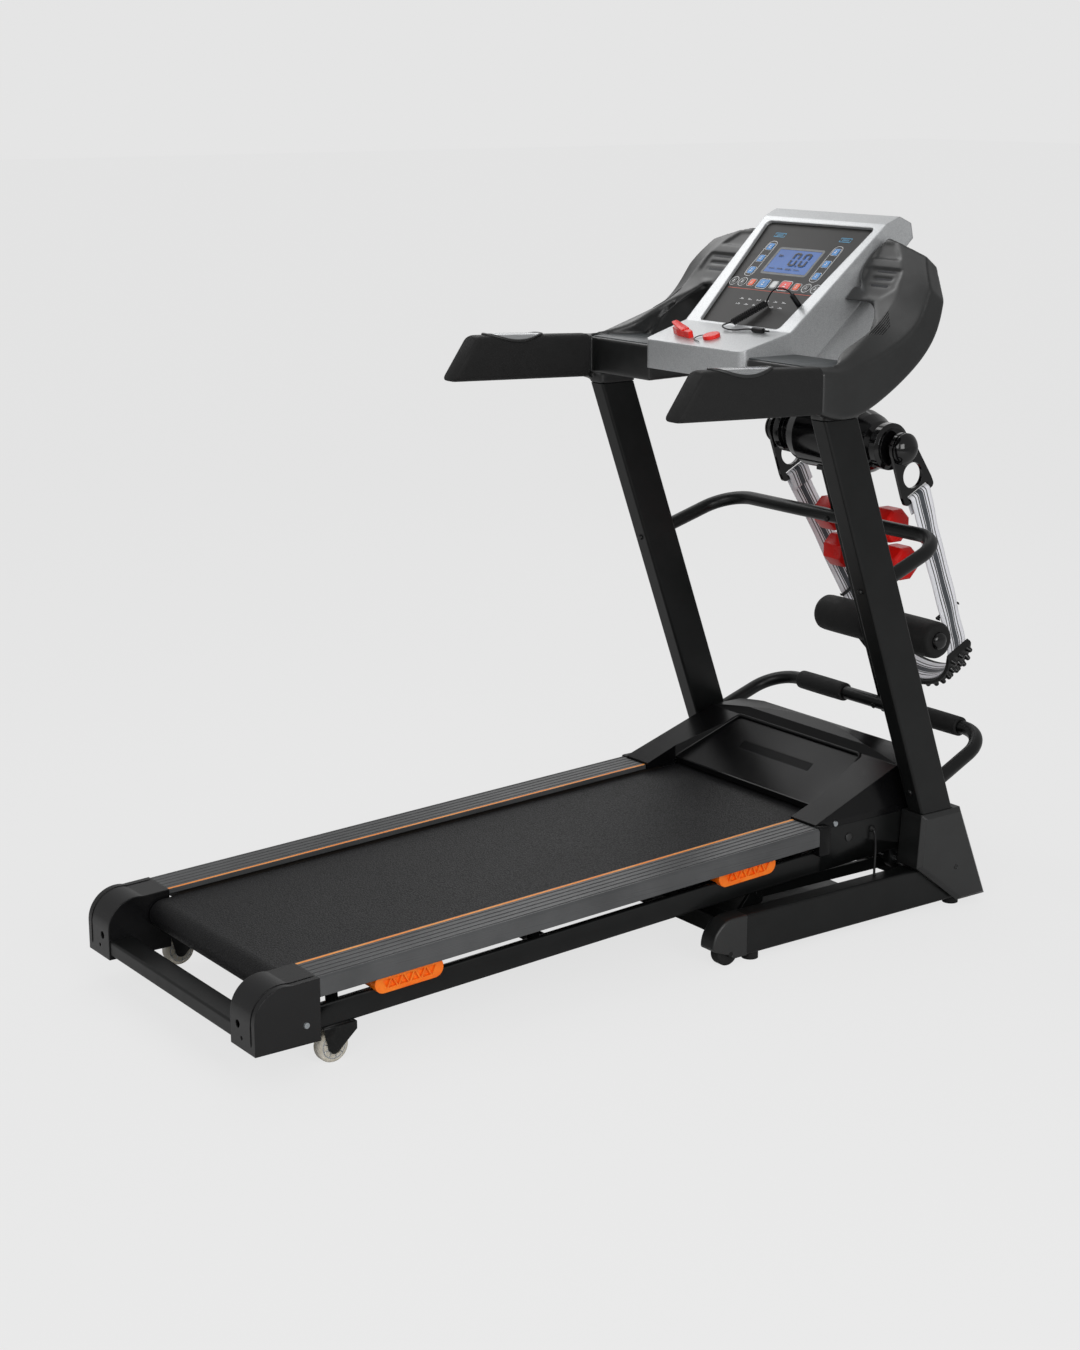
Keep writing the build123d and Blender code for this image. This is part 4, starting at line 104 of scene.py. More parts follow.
camera = put("camera", bpy.data.cameras.new("camera"))
bpy.context.scene.camera = camera
camera.data.lens = CAMERA_LENS
camera.data.sensor_width = 36
camera.data.sensor_fit = "AUTO"
camera.data.clip_end = 100
level = cos(CAMERA_DROP)
look = Vector((-sin(CAMERA_AZIMUTH) * level, cos(CAMERA_AZIMUTH) * level, -sin(CAMERA_DROP)))
camera.matrix_world = (
    Matrix.Translation(CAMERA_PLACE)
    @ look.to_track_quat("-Z", "Y").to_matrix().to_4x4()
    @ Matrix.Rotation(CAMERA_ROLL, 4, "Z")
)


# Finishes


def linear(colour):
    """Linear red, green, blue and alpha of a #rrggbb colour."""
    channels = [int(colour[place : place + 2], 16) / 255 for place in (1, 3, 5)]
    curved = [value / 12.92 if value <= 0.04045 else ((value + 0.055) / 1.055) ** 2.4 for value in channels]
    return curved + [1.0]


def fill(tree, node, inputs):
    """Fill or link a node's inputs by name or number."""
    for socket, value in inputs.items():
        if isinstance(value, bpy.types.NodeSocket):
            tree.links.new(value, node.inputs[socket])
        else:
            node.inputs[socket].default_value = value


def add_node(tree, kind, inputs, **settings):
    """Add a shader node, set its fields, and fill or link its inputs."""
    added = tree.nodes.new("ShaderNode" + kind)
    for field, value in settings.items():
        setattr(added, field, value)
    fill(tree, added, inputs)
    return added


def open_material(material):
    """A material's tree, its shader and the piece's own coordinates in metres."""
    tree = material.node_tree
    return tree, tree.nodes["Principled BSDF"], tree.nodes["Texture Coordinate"].outputs["Object"]


def start_material(name):
    """A new material with its tree, its shader and the piece's own coordinates in metres."""
    material = bpy.data.materials.new(name)
    material.use_nodes = True
    add_node(material.node_tree, "TexCoord", {})
    return material, *open_material(material)


def per_metre(millimetres):
    """Texture scale at which one cell of a pattern is that many millimetres."""
    return 1000 / millimetres


def noise(tree, place, millimetres, detail):
    """A cloudy pattern with cells of that many millimetres."""
    inputs = {"Vector": place, "Scale": per_metre(millimetres), "Detail": detail}
    return add_node(tree, "TexNoise", inputs).outputs["Fac"]


def cells(tree, place, millimetres, **settings):
    """A pattern of cells that many millimetres apart."""
    return add_node(tree, "TexVoronoi", {"Vector": place, "Scale": per_metre(millimetres)}, **settings)


def drag_lines(tree, place, along, millimetres, detail):
    """A pattern of fine lines along x: the scale along them, and their spacing in millimetres."""
    scale = (along, per_metre(millimetres), per_metre(millimetres))
    stretch = add_node(tree, "Mapping", {"Vector": place, "Scale": scale})
    return noise(tree, stretch.outputs["Vector"], 1000, detail)


def two_tone(tree, driver, low, high, start=0.35, end=0.65):
    """A ramp between two hex colours, driven by a pattern."""
    ramp = add_node(tree, "ValToRGB", {"Fac": driver})
    for element, stop, colour in zip(ramp.color_ramp.elements, (start, end), (low, high)):
        element.position = stop
        element.color = linear(colour)
    return ramp.outputs["Color"]


def banded(tree, driver, stops):
    """A ramp of flat bands from (place, hex colour) pairs, driven by a pattern."""
    ramp = add_node(tree, "ValToRGB", {"Fac": driver})
    ramp.color_ramp.interpolation = "CONSTANT"
    while len(ramp.color_ramp.elements) < len(stops):
        ramp.color_ramp.elements.new(0.5)
    for element, (stop, colour) in zip(ramp.color_ramp.elements, stops):
        element.position = stop
        element.color = linear(colour)
    return ramp.outputs["Color"]


def gloss(tree, driver, rough, start=0.3, end=0.7):
    """A roughness that a pattern drives between two values."""
    inputs = {"Value": driver, "From Min": start, "From Max": end, "To Min": rough[0], "To Max": rough[1]}
    return add_node(tree, "MapRange", inputs).outputs["Result"]


def relief(tree, height, depth, strength=1.0, edge=0.0, **settings):
    """Normals of a pattern some millimetres deep, on edges eased by some millimetres."""
    inputs = {"Height": height, "Distance": depth / 1000, "Strength": strength}
    if edge:
        inputs["Normal"] = add_node(tree, "Bevel", {"Radius": edge / 1000}, samples=4).outputs["Normal"]
    return add_node(tree, "Bump", inputs, **settings).outputs["Normal"]


def moulded(name, low, high, rough, grain, depth, cloud=70.0, edge=2.0, glint=0.3):
    """A moulded or painted surface: cloudy tone, uneven gloss, fine grain and eased edges, in millimetres."""
    material, tree, shader, place = start_material(name)
    looks = {
        "Base Color": two_tone(tree, noise(tree, place, cloud, 4.0), low, high),
        "Roughness": gloss(tree, noise(tree, place, cloud / 3, 5.0), rough),
        "Normal": relief(tree, noise(tree, place, grain, 2.0), depth, edge=edge),
        "Specular IOR Level": glint,
    }
    fill(tree, shader, looks)
    return material


# Powder-coated steel tube: satin black with a soft orange peel about a millimetre across
powder_coat = moulded("powder_coated_steel", "#0c0d0d", "#111212", (0.3, 0.36), 1.3, 0.03)

# Spark-eroded ABS mouldings: near-black, matt, with a fine even grain drawn coarse enough to show
grained_abs = moulded("grained_abs", "#0f1010", "#151616", (0.34, 0.42), 1.0, 0.04, edge=3.0, glint=0.7)

# Satin ABS of the motor hood and the end caps: smoother, with the caps' edges eased more than the hood's
satin_abs = moulded("satin_abs", "#070708", "#0a0a0b", (0.22, 0.26), 1.6, 0.003, edge=1.6, glint=0.22)
cap_abs = moulded("cap_abs", "#0a0a0b", "#0f0f10", (0.22, 0.27), 1.6, 0.004, edge=3.4, glint=0.4)

# Polished ABS: piano black with a slight waviness, for the massager
polished_abs = moulded("polished_abs", "#080809", "#0c0c0d", (0.05, 0.1), 22.0, 0.04, glint=0.5)

# Dark grey ABS of the ledges beside the console
grey_abs = moulded("grey_abs", "#44484a", "#4f5355", (0.32, 0.4), 0.9, 0.03)

# Rubber of feet, wheels and nodules: dull black with dusty patches
rubber = moulded("moulded_rubber", "#0f0f0f", "#181818", (0.5, 0.64), 0.8, 0.05, cloud=25.0)

# Vinyl-dipped iron dumbbells: a thick soft red skin with a slight peel
red_vinyl = moulded("dipped_vinyl", "#d0130e", "#de1d16", (0.26, 0.36), 3.0, 0.08, edge=3.0)

# Red ABS of the safety clip and its disc
red_abs = moulded("red_abs", "#e0241f", "#ee312b", (0.2, 0.28), 1.2, 0.02, cloud=18.0)

# Orange rubber of the deck cushions: bright, slightly waxy
orange_rubber = moulded("orange_rubber", "#f76a0a", "#ff8420", (0.3, 0.44), 1.1, 0.05, cloud=30.0)
tree, shader, _ = open_material(orange_rubber)
fill(tree, shader, {"Subsurface Weight": 0.08, "Subsurface Radius": (0.004, 0.0015, 0.0005)})

# Orange printed stripe let into the rails
orange_vinyl = moulded("printed_vinyl", "#ff9536", "#ffaa55", (0.34, 0.46), 0.9, 0.02, cloud=90.0)

# Cord sheath: soft PVC with a faint drag line
soft_pvc = moulded("soft_pvc", "#101011", "#19191a", (0.34, 0.46), 0.9, 0.03, cloud=12.0, edge=0.5)


def key_film(name, low, high):
    """The glossy domed PET of a key top."""
    return moulded(name, low, high, (0.16, 0.26), 1.0, 0.02, cloud=14.0, edge=1.0)


def ink(name, low, high, rough=(0.35, 0.5)):
    """A printed ink."""
    return moulded(name, low, high, rough, 0.7, 0.01, cloud=9.0, edge=0.2)


blue_key = key_film("blue_key_film", "#2a76b8", "#3688cc")
red_key = key_film("red_key_film", "#d93632", "#e8403b")
white_ink = ink("white_ink", "#d8dadb", "#e6e7e8")
blue_ink = ink("blue_ink", "#3f8fb8", "#4f9fc8")
orange_ink = ink("orange_ink", "#c5482a", "#d85433")
# Black ink of the display's digits, also used as painted shade in the arms' slots and behind the hood's vents
black_ink_and_shade = ink("black_ink_and_shade", "#070a12", "#0b0f19", (0.3, 0.45))

# Moulded grey surround of the display
display_grey = moulded(
    "display_surround_abs", "#5c5f61", "#686b6d", (0.3, 0.38), 0.9, 0.02, cloud=20.0, edge=1.0
)

# Ribbed rail extrusion: dark grey with fine drag lines along its length
rail_abs = moulded("extruded_rail", "#404142", "#4d4e4f", (0.26, 0.34), 1.2, 0.02, cloud=110.0, glint=0.55)
tree, shader, place = open_material(rail_abs)
fill(tree, shader, {"Roughness": gloss(tree, drag_lines(tree, place, 3.0, 1.6, 3.0), (0.24, 0.42))})

# Running belt: black PVC on fabric, pebbled about 2.5 mm apart, with pale worn tips that sparkle
belt_pvc, tree, shader, place = start_material("pebbled_pvc")
pebble = cells(tree, place, 2.6, feature="SMOOTH_F1").outputs["Distance"]
haze = noise(tree, place, 120.0, 5.0)
fleck = noise(tree, place, 1.8, 2.0)
tone = add_node(tree, "Math", {0: haze, 1: fleck}, operation="MULTIPLY")
looks = {
    "Base Color": two_tone(tree, tone.outputs["Value"], "#08080a", "#151516", 0.14, 0.44),
    "Roughness": gloss(tree, pebble, (0.36, 0.62), 0.1, 0.6),
    "Normal": relief(tree, pebble, 0.6, invert=True),
    "Specular IOR Level": 0.3,
}
fill(tree, shader, looks)

# Closed-cell foam of grips, rollers and sleeves: matt black skin with pinprick pores about 1.5 mm apart
foam, tree, shader, place = start_material("closed_cell_foam")
swell = noise(tree, place, 16.0, 4.0)
looks = {
    "Base Color": two_tone(tree, swell, "#0f0f0f", "#161616"),
    "Roughness": gloss(tree, swell, (0.62, 0.78)),
    "Normal": relief(tree, cells(tree, place, 1.5).outputs["Distance"], 0.3),
    "Sheen Weight": 0.05,
    "Sheen Roughness": 0.5,
    "Specular IOR Level": 0.3,
}
fill(tree, shader, looks)

# Silver paint with metal flake on the console: bright flakes about 1.4 mm apart, drawn coarse enough to show
silver_paint, tree, shader, place = start_material("flake_silver_paint")
flakes = add_node(tree, "RGBToBW", {"Color": cells(tree, place, 1.4).outputs["Color"]}).outputs["Val"]
looks = {
    "Base Color": two_tone(tree, flakes, "#b4b6b8", "#c6c8c9", 0.2, 0.8),
    "Roughness": gloss(tree, flakes, (0.3, 0.38), 0.2, 0.8),
    "Normal": relief(tree, flakes, 0.01, 0.5, edge=5.0),
    "Metallic": 0.55,
    "Coat Weight": 0.15,
    "Coat Roughness": 0.12,
}
fill(tree, shader, looks)


def plated(name, low, high, rough, spacing):
    """Bright metal with fine drag lines along x, whose spacing is in millimetres."""
    material, tree, shader, place = start_material(name)
    lines = drag_lines(tree, place, 20.0, spacing, 4.0)
    looks = {
        "Base Color": two_tone(tree, lines, low, high),
        "Roughness": gloss(tree, lines, rough),
        "Normal": relief(tree, lines, 0.02, 0.5),
        "Metallic": 1.0,
    }
    fill(tree, shader, looks)
    return material


# Stainless pulse plates and turned steel: brushed, softly mirror-like
brushed_steel = plated("brushed_stainless_steel", "#b9bbbd", "#d2d4d5", (0.16, 0.3), 0.8)

# Zinc-plated screws and shafts: cooler and a little duller
zinc_plate = plated("zinc_plate", "#9fa5a9", "#bcc1c4", (0.22, 0.38), 1.5)

# Printed overlay of the panel: smoked PET, brown-black and paler towards its middle
overlay, tree, shader, place = start_material("smoked_pet_film")
film = noise(tree, place, 0.9, 2.0)
looks = {
    "Base Color": two_tone(tree, noise(tree, place, 130.0, 3.0), "#151514", "#211f1e"),
    "Roughness": gloss(tree, film, (0.36, 0.44)),
    "Normal": relief(tree, film, 0.02),
    "Specular IOR Level": 0.2,
}
fill(tree, shader, looks)

# Backlit display glass: blue with a faint dot raster about 1.2 mm apart
lcd_glass, tree, shader, place = start_material("backlit_glass")
raster = cells(tree, place, 1.2)
fill(tree, raster, {"Randomness": 0.0})
glow = noise(tree, place, 70.0, 2.0)
mixed = add_node(tree, "Math", {0: raster.outputs["Distance"], 1: 0.12, 2: glow}, operation="MULTIPLY_ADD")
lit = two_tone(tree, mixed.outputs["Value"], "#34548f", "#4468a6", 0.3, 0.75)
looks = {
    "Base Color": lit,
    "Emission Color": lit,
    "Emission Strength": 0.25,
    "Roughness": gloss(tree, glow, (0.08, 0.16)),
    "Specular IOR Level": 0.15,
}
fill(tree, shader, looks)

# Key tops of the middle row: black at the ends, orange next, white in the middle
row_keys = key_film("row_key_film", "#202020", "#2a2a2a")
tree, shader, place = open_material(row_keys)
spot = add_node(tree, "SeparateXYZ", {"Vector": place})
spread = add_node(tree, "MapRange", {"Value": spot.outputs["Y"], "From Min": -0.13, "From Max": 0.13})
ROW_COLOURS = ((0.0, "#1d1d1e"), (0.18, "#ee5a22"), (0.34, "#dcdddd"), (0.66, "#ee5a22"), (0.82, "#1d1d1e"))
plain = shader.inputs["Base Color"].links[0].from_socket
colours = banded(tree, spread.outputs["Result"], ROW_COLOURS)
row_tint = add_node(tree, "Mix", {"Factor": 0.92, "A": plain, "B": colours}, data_type="RGBA")
fill(tree, shader, {"Base Color": row_tint.outputs["Result"]})

# Cast urethane of the deck's wheels: milky and clear, with faint flow marks
urethane, tree, shader, place = start_material("cast_urethane")
flow = noise(tree, place, 14.0, 3.0)
looks = {
    "Base Color": two_tone(tree, flow, "#d8d0bd", "#efe9dc"),
    "Roughness": gloss(tree, flow, (0.16, 0.26)),
    "Transmission Weight": 0.35,
    "IOR": 1.5,
}
fill(tree, shader, looks)

# Running board: brown MDF edge under a black film, with chips about 4 mm long
board_mdf, tree, shader, place = start_material("film_faced_mdf")
chips = noise(tree, place, 4.0, 6.0)
looks = {
    "Base Color": two_tone(tree, chips, "#1d1a17", "#332c25"),
    "Normal": relief(tree, chips, 0.1, 0.7),
    "Roughness": 0.62,
}
fill(tree, shader, looks)

# Drive belt: ribbed rubber, ribs every 2.3 mm across its width
drive_rubber, tree, shader, place = start_material("ribbed_drive_rubber")
WAVES_PER_CELL = 6.5
waves = {"Vector": place, "Scale": per_metre(2.3) / WAVES_PER_CELL, "Distortion": 0.0}
ribs = add_node(tree, "TexWave", waves, bands_direction="Y").outputs["Fac"]
looks = {
    "Base Color": two_tone(tree, ribs, "#101010", "#1f1f1f", 0.2, 0.8),
    "Normal": relief(tree, ribs, 0.8),
    "Roughness": 0.6,
}
fill(tree, shader, looks)

# Woven polyester strap: white with a grey band and black pin lines across its width, 0.9 mm ribs along it
strap_weave, tree, shader, _ = start_material("woven_polyester")
weave = add_node(tree, "UVMap", {}, uv_map="lay").outputs["UV"]
across_weave = add_node(tree, "SeparateXYZ", {"Vector": weave}).outputs["X"]
WHITE_YARN = "#f6f6fb"
PIN_YARN = "#0d0d11"
GREY_YARN = "#3c4046"
PIN_STARTS = (0.18, 0.315, 0.64, 0.775)
PIN_W = 0.045
GREY_BAND = (0.39, 0.61)
stripes = [(start, start + PIN_W, PIN_YARN) for start in PIN_STARTS] + [(*GREY_BAND, GREY_YARN)]
strap_bands = [(0.0, WHITE_YARN)]
for start, end, colour in sorted(stripes):
    strap_bands += [(start, colour), (end, WHITE_YARN)]
bands = banded(tree, across_weave, strap_bands)
waves = {"Vector": weave, "Scale": 170.0, "Distortion": 0.4}
ribbing = add_node(tree, "TexWave", waves, bands_direction="Y").outputs["Fac"]
fuzz = add_node(tree, "TexNoise", {"Vector": weave, "Scale": 240.0, "Detail": 3.0}).outputs["Fac"]
shade = add_node(tree, "MapRange", {"Value": fuzz, "To Min": 0.9, "To Max": 1.04}).outputs["Result"]
yarn = add_node(tree, "Mix", {"Factor": 1.0, "A": bands, "B": shade}, data_type="RGBA", blend_type="MULTIPLY")
looks = {
    "Base Color": yarn.outputs["Result"],
    "Normal": relief(tree, ribbing, 0.3, 0.8),
    "Roughness": 0.72,
    "Sheen Weight": 0.25,
}
fill(tree, shader, looks)

NODE_FINISHES = {
    powder_coat: (
        "base_tubes base_crossbars uprights upper_bar lower_bar deck_frame deck_crossbars accessory_post"
        " lift_arms frame_bolts motor incline_motor"
    ),
    grained_abs: "base_end_caps upright_covers handle_arms console_back motor_controller",
    satin_abs: "motor_hood",
    cap_abs: "rear_caps",
    polished_abs: "massager_body massager_domes belt_hooks",
    rubber: "base_feet transport_wheel_right transport_wheel_left massage_pad",
    silver_paint: "console_housing",
    overlay: "console_panel",
    lcd_glass: "lcd_display",
    blue_key: "start_key incline_quick_keys speed_quick_keys",
    red_key: "stop_key",
    row_keys: "mode_keys",
    rail_abs: "side_rails",
    orange_vinyl: "stripe_inserts",
    orange_rubber: "cushions",
    urethane: "rear_wheel_right rear_wheel_left",
    belt_pvc: "running_belt",
    board_mdf: "running_board",
    drive_rubber: "drive_belt",
    red_vinyl: "dumbbell_upper dumbbell_lower",
    red_abs: "safety_key",
    soft_pvc: "audio_plugs signal_cable audio_lead safety_cord",
    foam: "grips bar_sleeves foam_rollers",
    strap_weave: "massage_strap",
    brushed_steel: "pulse_plates rear_roller front_roller pivot_shaft motor_flywheel",
    zinc_plate: "deck_screws incline_screw",
}
for finish, names in NODE_FINISHES.items():
    for name in names.split():
        node = NODES[name]
        if not node.material_slots:
            node.data.materials.append(finish)
        for held in node.material_slots:
            held.material = finish


# Ways of making a piece


def smooth_mesh(name, shape, crease=35.0):
    """Turn a bmesh into a mesh that is smooth except across edges sharper than the crease."""
    bmesh.ops.recalc_face_normals(shape, faces=shape.faces)
    for face in shape.faces:
        face.smooth = True
    mesh = bpy.data.meshes.new(name)
    shape.to_mesh(mesh)
    shape.free()
    mesh.set_sharp_from_angle(angle=radians(crease))
    return mesh


def attach(piece, body, node=None):
    """Let a piece ride on its body, and hide the node that it stands for."""
    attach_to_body(piece, body)
    if node:
        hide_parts(node)
    return piece


def finish_piece(name, shape, material, body, crease=35.0, node=None):
    """Turn a bmesh into a piece that rides on a body and may stand for a node."""
    mesh = smooth_mesh(name, shape, crease)
    mesh.materials.append(material)
    return attach(put(name, mesh), body, node)


def settled(thing):
    """A new mesh of a curve, or of an object with its modifiers."""
    bpy.context.view_layer.update()
    return bpy.data.meshes.new_from_object(thing.evaluated_get(bpy.context.evaluated_depsgraph_get()))


def join_rings(shape, rings, around=False):
    """Skin a run of closed rings of points; its two ends are closed, or joined if it goes around."""
    loops = [[shape.verts.new(point) for point in ring] for ring in rings]
    following_loops = loops[1:] + loops[:1] if around else loops[1:]
    for loop, following in zip(loops, following_loops):
        for place in range(len(loop)):
            after = (place + 1) % len(loop)
            shape.faces.new((loop[place], loop[after], following[after], following[place]))
    if not around:
        shape.faces.new(loops[0])
        shape.faces.new(loops[-1])


def levelled(lay, edge, levels):
    """Rings of an outline of (a, b) pairs that a function lays at each of some levels."""
    return [[lay(a, b, level) for a, b in edge] for level in levels]


def ring_piece(name, rings, material, body, crease=35.0, node=None, both=False):
    """A piece skinned over rings of points, alone or with its mirror image on the other side."""
    shape = bmesh.new()
    join_rings(shape, rings)
    if both:
        join_rings(shape, [[point * OTHER_SIDE for point in ring] for ring in rings])
    return finish_piece(name, shape, material, body, crease, node)


def circle(middle, across, third, reach, steps):
    """Points of a circle between two directions."""
    turns = [2 * pi * step / steps for step in range(steps)]
    return [middle + (across * cos(turn) + third * sin(turn)) * reach for turn in turns]


def turned(shape, profile, centre, axis, across=AHEAD, steps=48):
    """Turn a profile of (radius, place along the axis) in millimetres round an axis; radius 0 closes it."""
    third = axis.cross(across)
    rings = []
    for radius, along in profile:
        rings.append(circle(centre + axis * (along / 1000), across, third, max(radius, 0.001) / 1000, steps))
    join_rings(shape, rings)


def bead(shape, points, radius, sides=10):
    """A round bead along a run of points, with closed and drawn-in ends; its radius is in millimetres."""
    rings = []
    across = (points[1] - points[0]).orthogonal()
    last = len(points) - 1
    for index, point in enumerate(points):
        run = (points[min(index + 1, last)] - points[max(index - 1, 0)]).normalized()
        across = (across - run * across.dot(run)).normalized()
        reach = radius / 1000 * (0.4 if index in (0, last) else 1.0)
        rings.append(circle(point, across, run.cross(across), reach, sides))
    join_rings(shape, rings)


def skin_of(mesh):
    """A search tree over a mesh, to lay pieces on its surface."""
    faces = [list(face.vertices) for face in mesh.polygons]
    return BVHTree.FromPolygons([vert.co for vert in mesh.vertices], faces)


def laid(skin, origin, direction):
    """The point where a line meets a surface."""
    return skin.ray_cast(origin, direction)[0]


def round_box(width, height, radius, steps=6):
    """Corner-rounded rectangle as (a, b) pairs in millimetres, anticlockwise."""
    points = []
    for turn, (a, b) in enumerate(((1, 1), (-1, 1), (-1, -1), (1, -1))):
        for step in range(steps + 1):
            angle = (turn + step / steps) * pi / 2
            corner = (a * (width / 2 - radius), b * (height / 2 - radius))
            points.append((corner[0] + radius * cos(angle), corner[1] + radius * sin(angle)))
    return points


# Printed ink: how far its face stands off the panel and how thick it is, in millimetres
INK_OUT = 0.12
INK_T = 0.08


def ink_ring(shape, along, y, length, width, radius, line, out=INK_OUT):
    """A printed outline on the panel: a rounded rectangle of a line's width, in millimetres."""
    inside = round_box(length - 2 * line, width - 2 * line, max(radius - line, 0.3))
    outside = round_box(length, width, radius)
    edges = ((inside, out - INK_T), (inside, out), (outside, out), (outside, out - INK_T))
    rings = [[on_panel(along + a, y + b, level) for a, b in edge] for edge, level in edges]
    join_rings(shape, rings, around=True)


def ink_patch(shape, along, y, length, width, radius, out=INK_OUT):
    """A printed rounded patch on the panel, in millimetres."""
    edge = [(along + a, y + b) for a, b in round_box(length, width, radius, 3)]
    join_rings(shape, levelled(on_panel, edge, (out - INK_T, out)))


def repeat_tree():
    """Geometry nodes that set one shape on every point of a mesh, turned by the points' own angles."""
    tree = bpy.data.node_groups.new("set_on_points", "GeometryNodeTree")
    for name, kind in (("Points", "Geometry"), ("Shape", "Object"), ("Finish", "Material")):
        tree.interface.new_socket(name, in_out="INPUT", socket_type="NodeSocket" + kind)
    tree.interface.new_socket("Pieces", in_out="OUTPUT", socket_type="NodeSocketGeometry")
    entry = tree.nodes.new("NodeGroupInput")
    leave = tree.nodes.new("NodeGroupOutput")
    shape = tree.nodes.new("GeometryNodeObjectInfo")
    angles = tree.nodes.new("GeometryNodeInputNamedAttribute")
    angles.data_type = "FLOAT_VECTOR"
    angles.inputs["Name"].default_value = "turn"
    setting = tree.nodes.new("GeometryNodeInstanceOnPoints")
    made_real = tree.nodes.new("GeometryNodeRealizeInstances")
    painted = tree.nodes.new("GeometryNodeSetMaterial")
    links = (
        (entry, "Points", setting, "Points"),
        (entry, "Shape", shape, "Object"),
        (shape, "Geometry", setting, "Instance"),
        (angles, "Attribute", setting, "Rotation"),
        (setting, "Instances", made_real, "Geometry"),
        (made_real, "Geometry", painted, "Geometry"),
        (entry, "Finish", painted, "Material"),
        (painted, "Geometry", leave, "Pieces"),
    )
    for source, out, target, into in links:
        tree.links.new(source.outputs[out], target.inputs[into])
    return tree


REPEAT = repeat_tree()


def repeated(name, shape, spots, material, body):
    """One piece of many copies: a bmesh drawn round the origin along +Z, set at each (place, direction)."""
    pattern = put(name + "_shape", smooth_mesh(name + "_shape", shape))
    points = bpy.data.meshes.new(name + "_points")
    points.from_pydata([place for place, _ in spots], [], [])
    angles = points.attributes.new("turn", "FLOAT_VECTOR", "POINT")
    for held, (_, direction) in zip(angles.data, spots):
        held.vector = direction.to_track_quat("Z", "Y").to_euler()
    carrier = put(name, points)
    modifier = carrier.modifiers.new("repeat", "NODES")
    modifier.node_group = REPEAT
    sockets = {item.name: item.identifier for item in REPEAT.interface.items_tree if item.in_out == "INPUT"}
    modifier[sockets["Shape"]] = pattern
    modifier[sockets["Finish"]] = material
    made = settled(carrier)
    carrier.modifiers.clear()
    carrier.data = made
    bpy.data.objects.remove(pattern)
    return attach(carrier, body)


# Radius given to a curve's points, small because a curve's box reaches that far past its line
POINT_RADIUS = 0.005


def smooth_line(name, points, radius):
    """A cord's curve: one open NURBS spline with these points as its control points."""
    curve = bpy.data.curves.new(name, "CURVE")
    curve.dimensions = "3D"
    spline = curve.splines.new("NURBS")
    spline.points.add(len(points) - 1)
    for held, point in zip(spline.points, points):
        held.co = (*point, 1.0)
        held.radius = POINT_RADIUS
    spline.order_u = 3
    spline.use_endpoint_u = True
    spline.resolution_u = 4
    curve.bevel_depth = radius / POINT_RADIUS
    curve.bevel_resolution = 3
    curve.use_fill_caps = True
    return put(name, curve)


def line_points(line):
    """Points along a cord's curve, read with its thickness set aside."""
    thickness = line.data.bevel_depth
    line.data.bevel_depth = 0
    thread = settled(line)
    line.data.bevel_depth = thickness
    points = [vert.co.copy() for vert in thread.vertices]
    bpy.data.meshes.remove(thread)
    return points


def line_length(line):
    """Length of a cord's curve in metres."""
    points = line_points(line)
    return sum((after - before).length for before, after in zip(points, points[1:]))


# Cords


def lay_cord(name, points, radius, body, node, **says):
    """A limp cord that lies loose along control points and stands for a node."""
    line = smooth_line(name, points, radius)
    line.data.materials.append(soft_pvc)
    attach(line, body, node)
    tuple(points[0])
    line_length(line)


# Audio lead: out of its socket, over to the curly middle, and along the tray to its loose plug
CORD_R = 0.0015
CURL_R = 6.2
CURL_TURNS = 18
CURL_STEPS = 14
CURL_PHASE = 0.4
CURL_START = on_panel(60, -33, 8.7)
CURL_END = on_panel(-4, 8, 14.7)
curl_axis = (CURL_END - CURL_START).normalized()
curl_side = curl_axis.cross(tilted(PANEL_TILT)[1]).normalized()
curl_rise = curl_axis.cross(curl_side)
curl_points = []
for step in range(CURL_TURNS * CURL_STEPS + 1):
    turns = step / CURL_STEPS
    angle = CURL_PHASE + 2 * pi * turns
    middle = CURL_START.lerp(CURL_END, turns / CURL_TURNS)
    curl_points.append(middle + (curl_side * cos(angle) + curl_rise * sin(angle)) * CURL_R / 1000)
LEAD_OVER = ((70, -112, 30), (70, -112, 43), (66, -88, 50), (63, -62, 36))
LEAD_TAIL = ((92, 18, 8), (86, 0, 4), (88, -28, 3), (98, -52, 5.2), (98, -70, 5.2))
lead_over = [on_panel(*point) for point in LEAD_OVER]
lead_tail = [on_tray(*point) for point in LEAD_TAIL]
lead_points = lead_over + curl_points + lead_tail
plugs = [NODES["audio_plugs"]]
lay_cord("curly_lead", lead_points, CORD_R, "base", "audio_lead", far_end="plug", with_pieces=plugs)

# Lanyard between the safety disc and its clip
LANYARD_R = 0.001
LANYARD = ((48, 14.1, 3.5), (46, 26, 3), (32, 30, 2), (22, 20, 2), (18, 0, 2))
lanyard_points = [on_tray(*point) for point in LANYARD]
lay_cord("safety_lanyard", lanyard_points, LANYARD_R, "safety_key", "safety_cord", far_end="object")

# Signal cable from the deck's side plate down into the base tube
CABLE_R = 0.0025
CABLE = ((1396, -299.4, 186), (1396, -308.5, 186), (1399, -309.5, 146), (1389, -317, 104), (1388, -320, 30))
cable_line = smooth_line("signal_cable_line", [at(*point) for point in CABLE], CABLE_R)
cable_mesh = settled(cable_line)
bpy.data.objects.remove(cable_line)
cable_mesh.materials.clear()
cable_mesh.materials.append(soft_pvc)
cable = put("signal_lead", cable_mesh)
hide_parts("signal_cable")
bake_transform(cable)


# Soft pieces

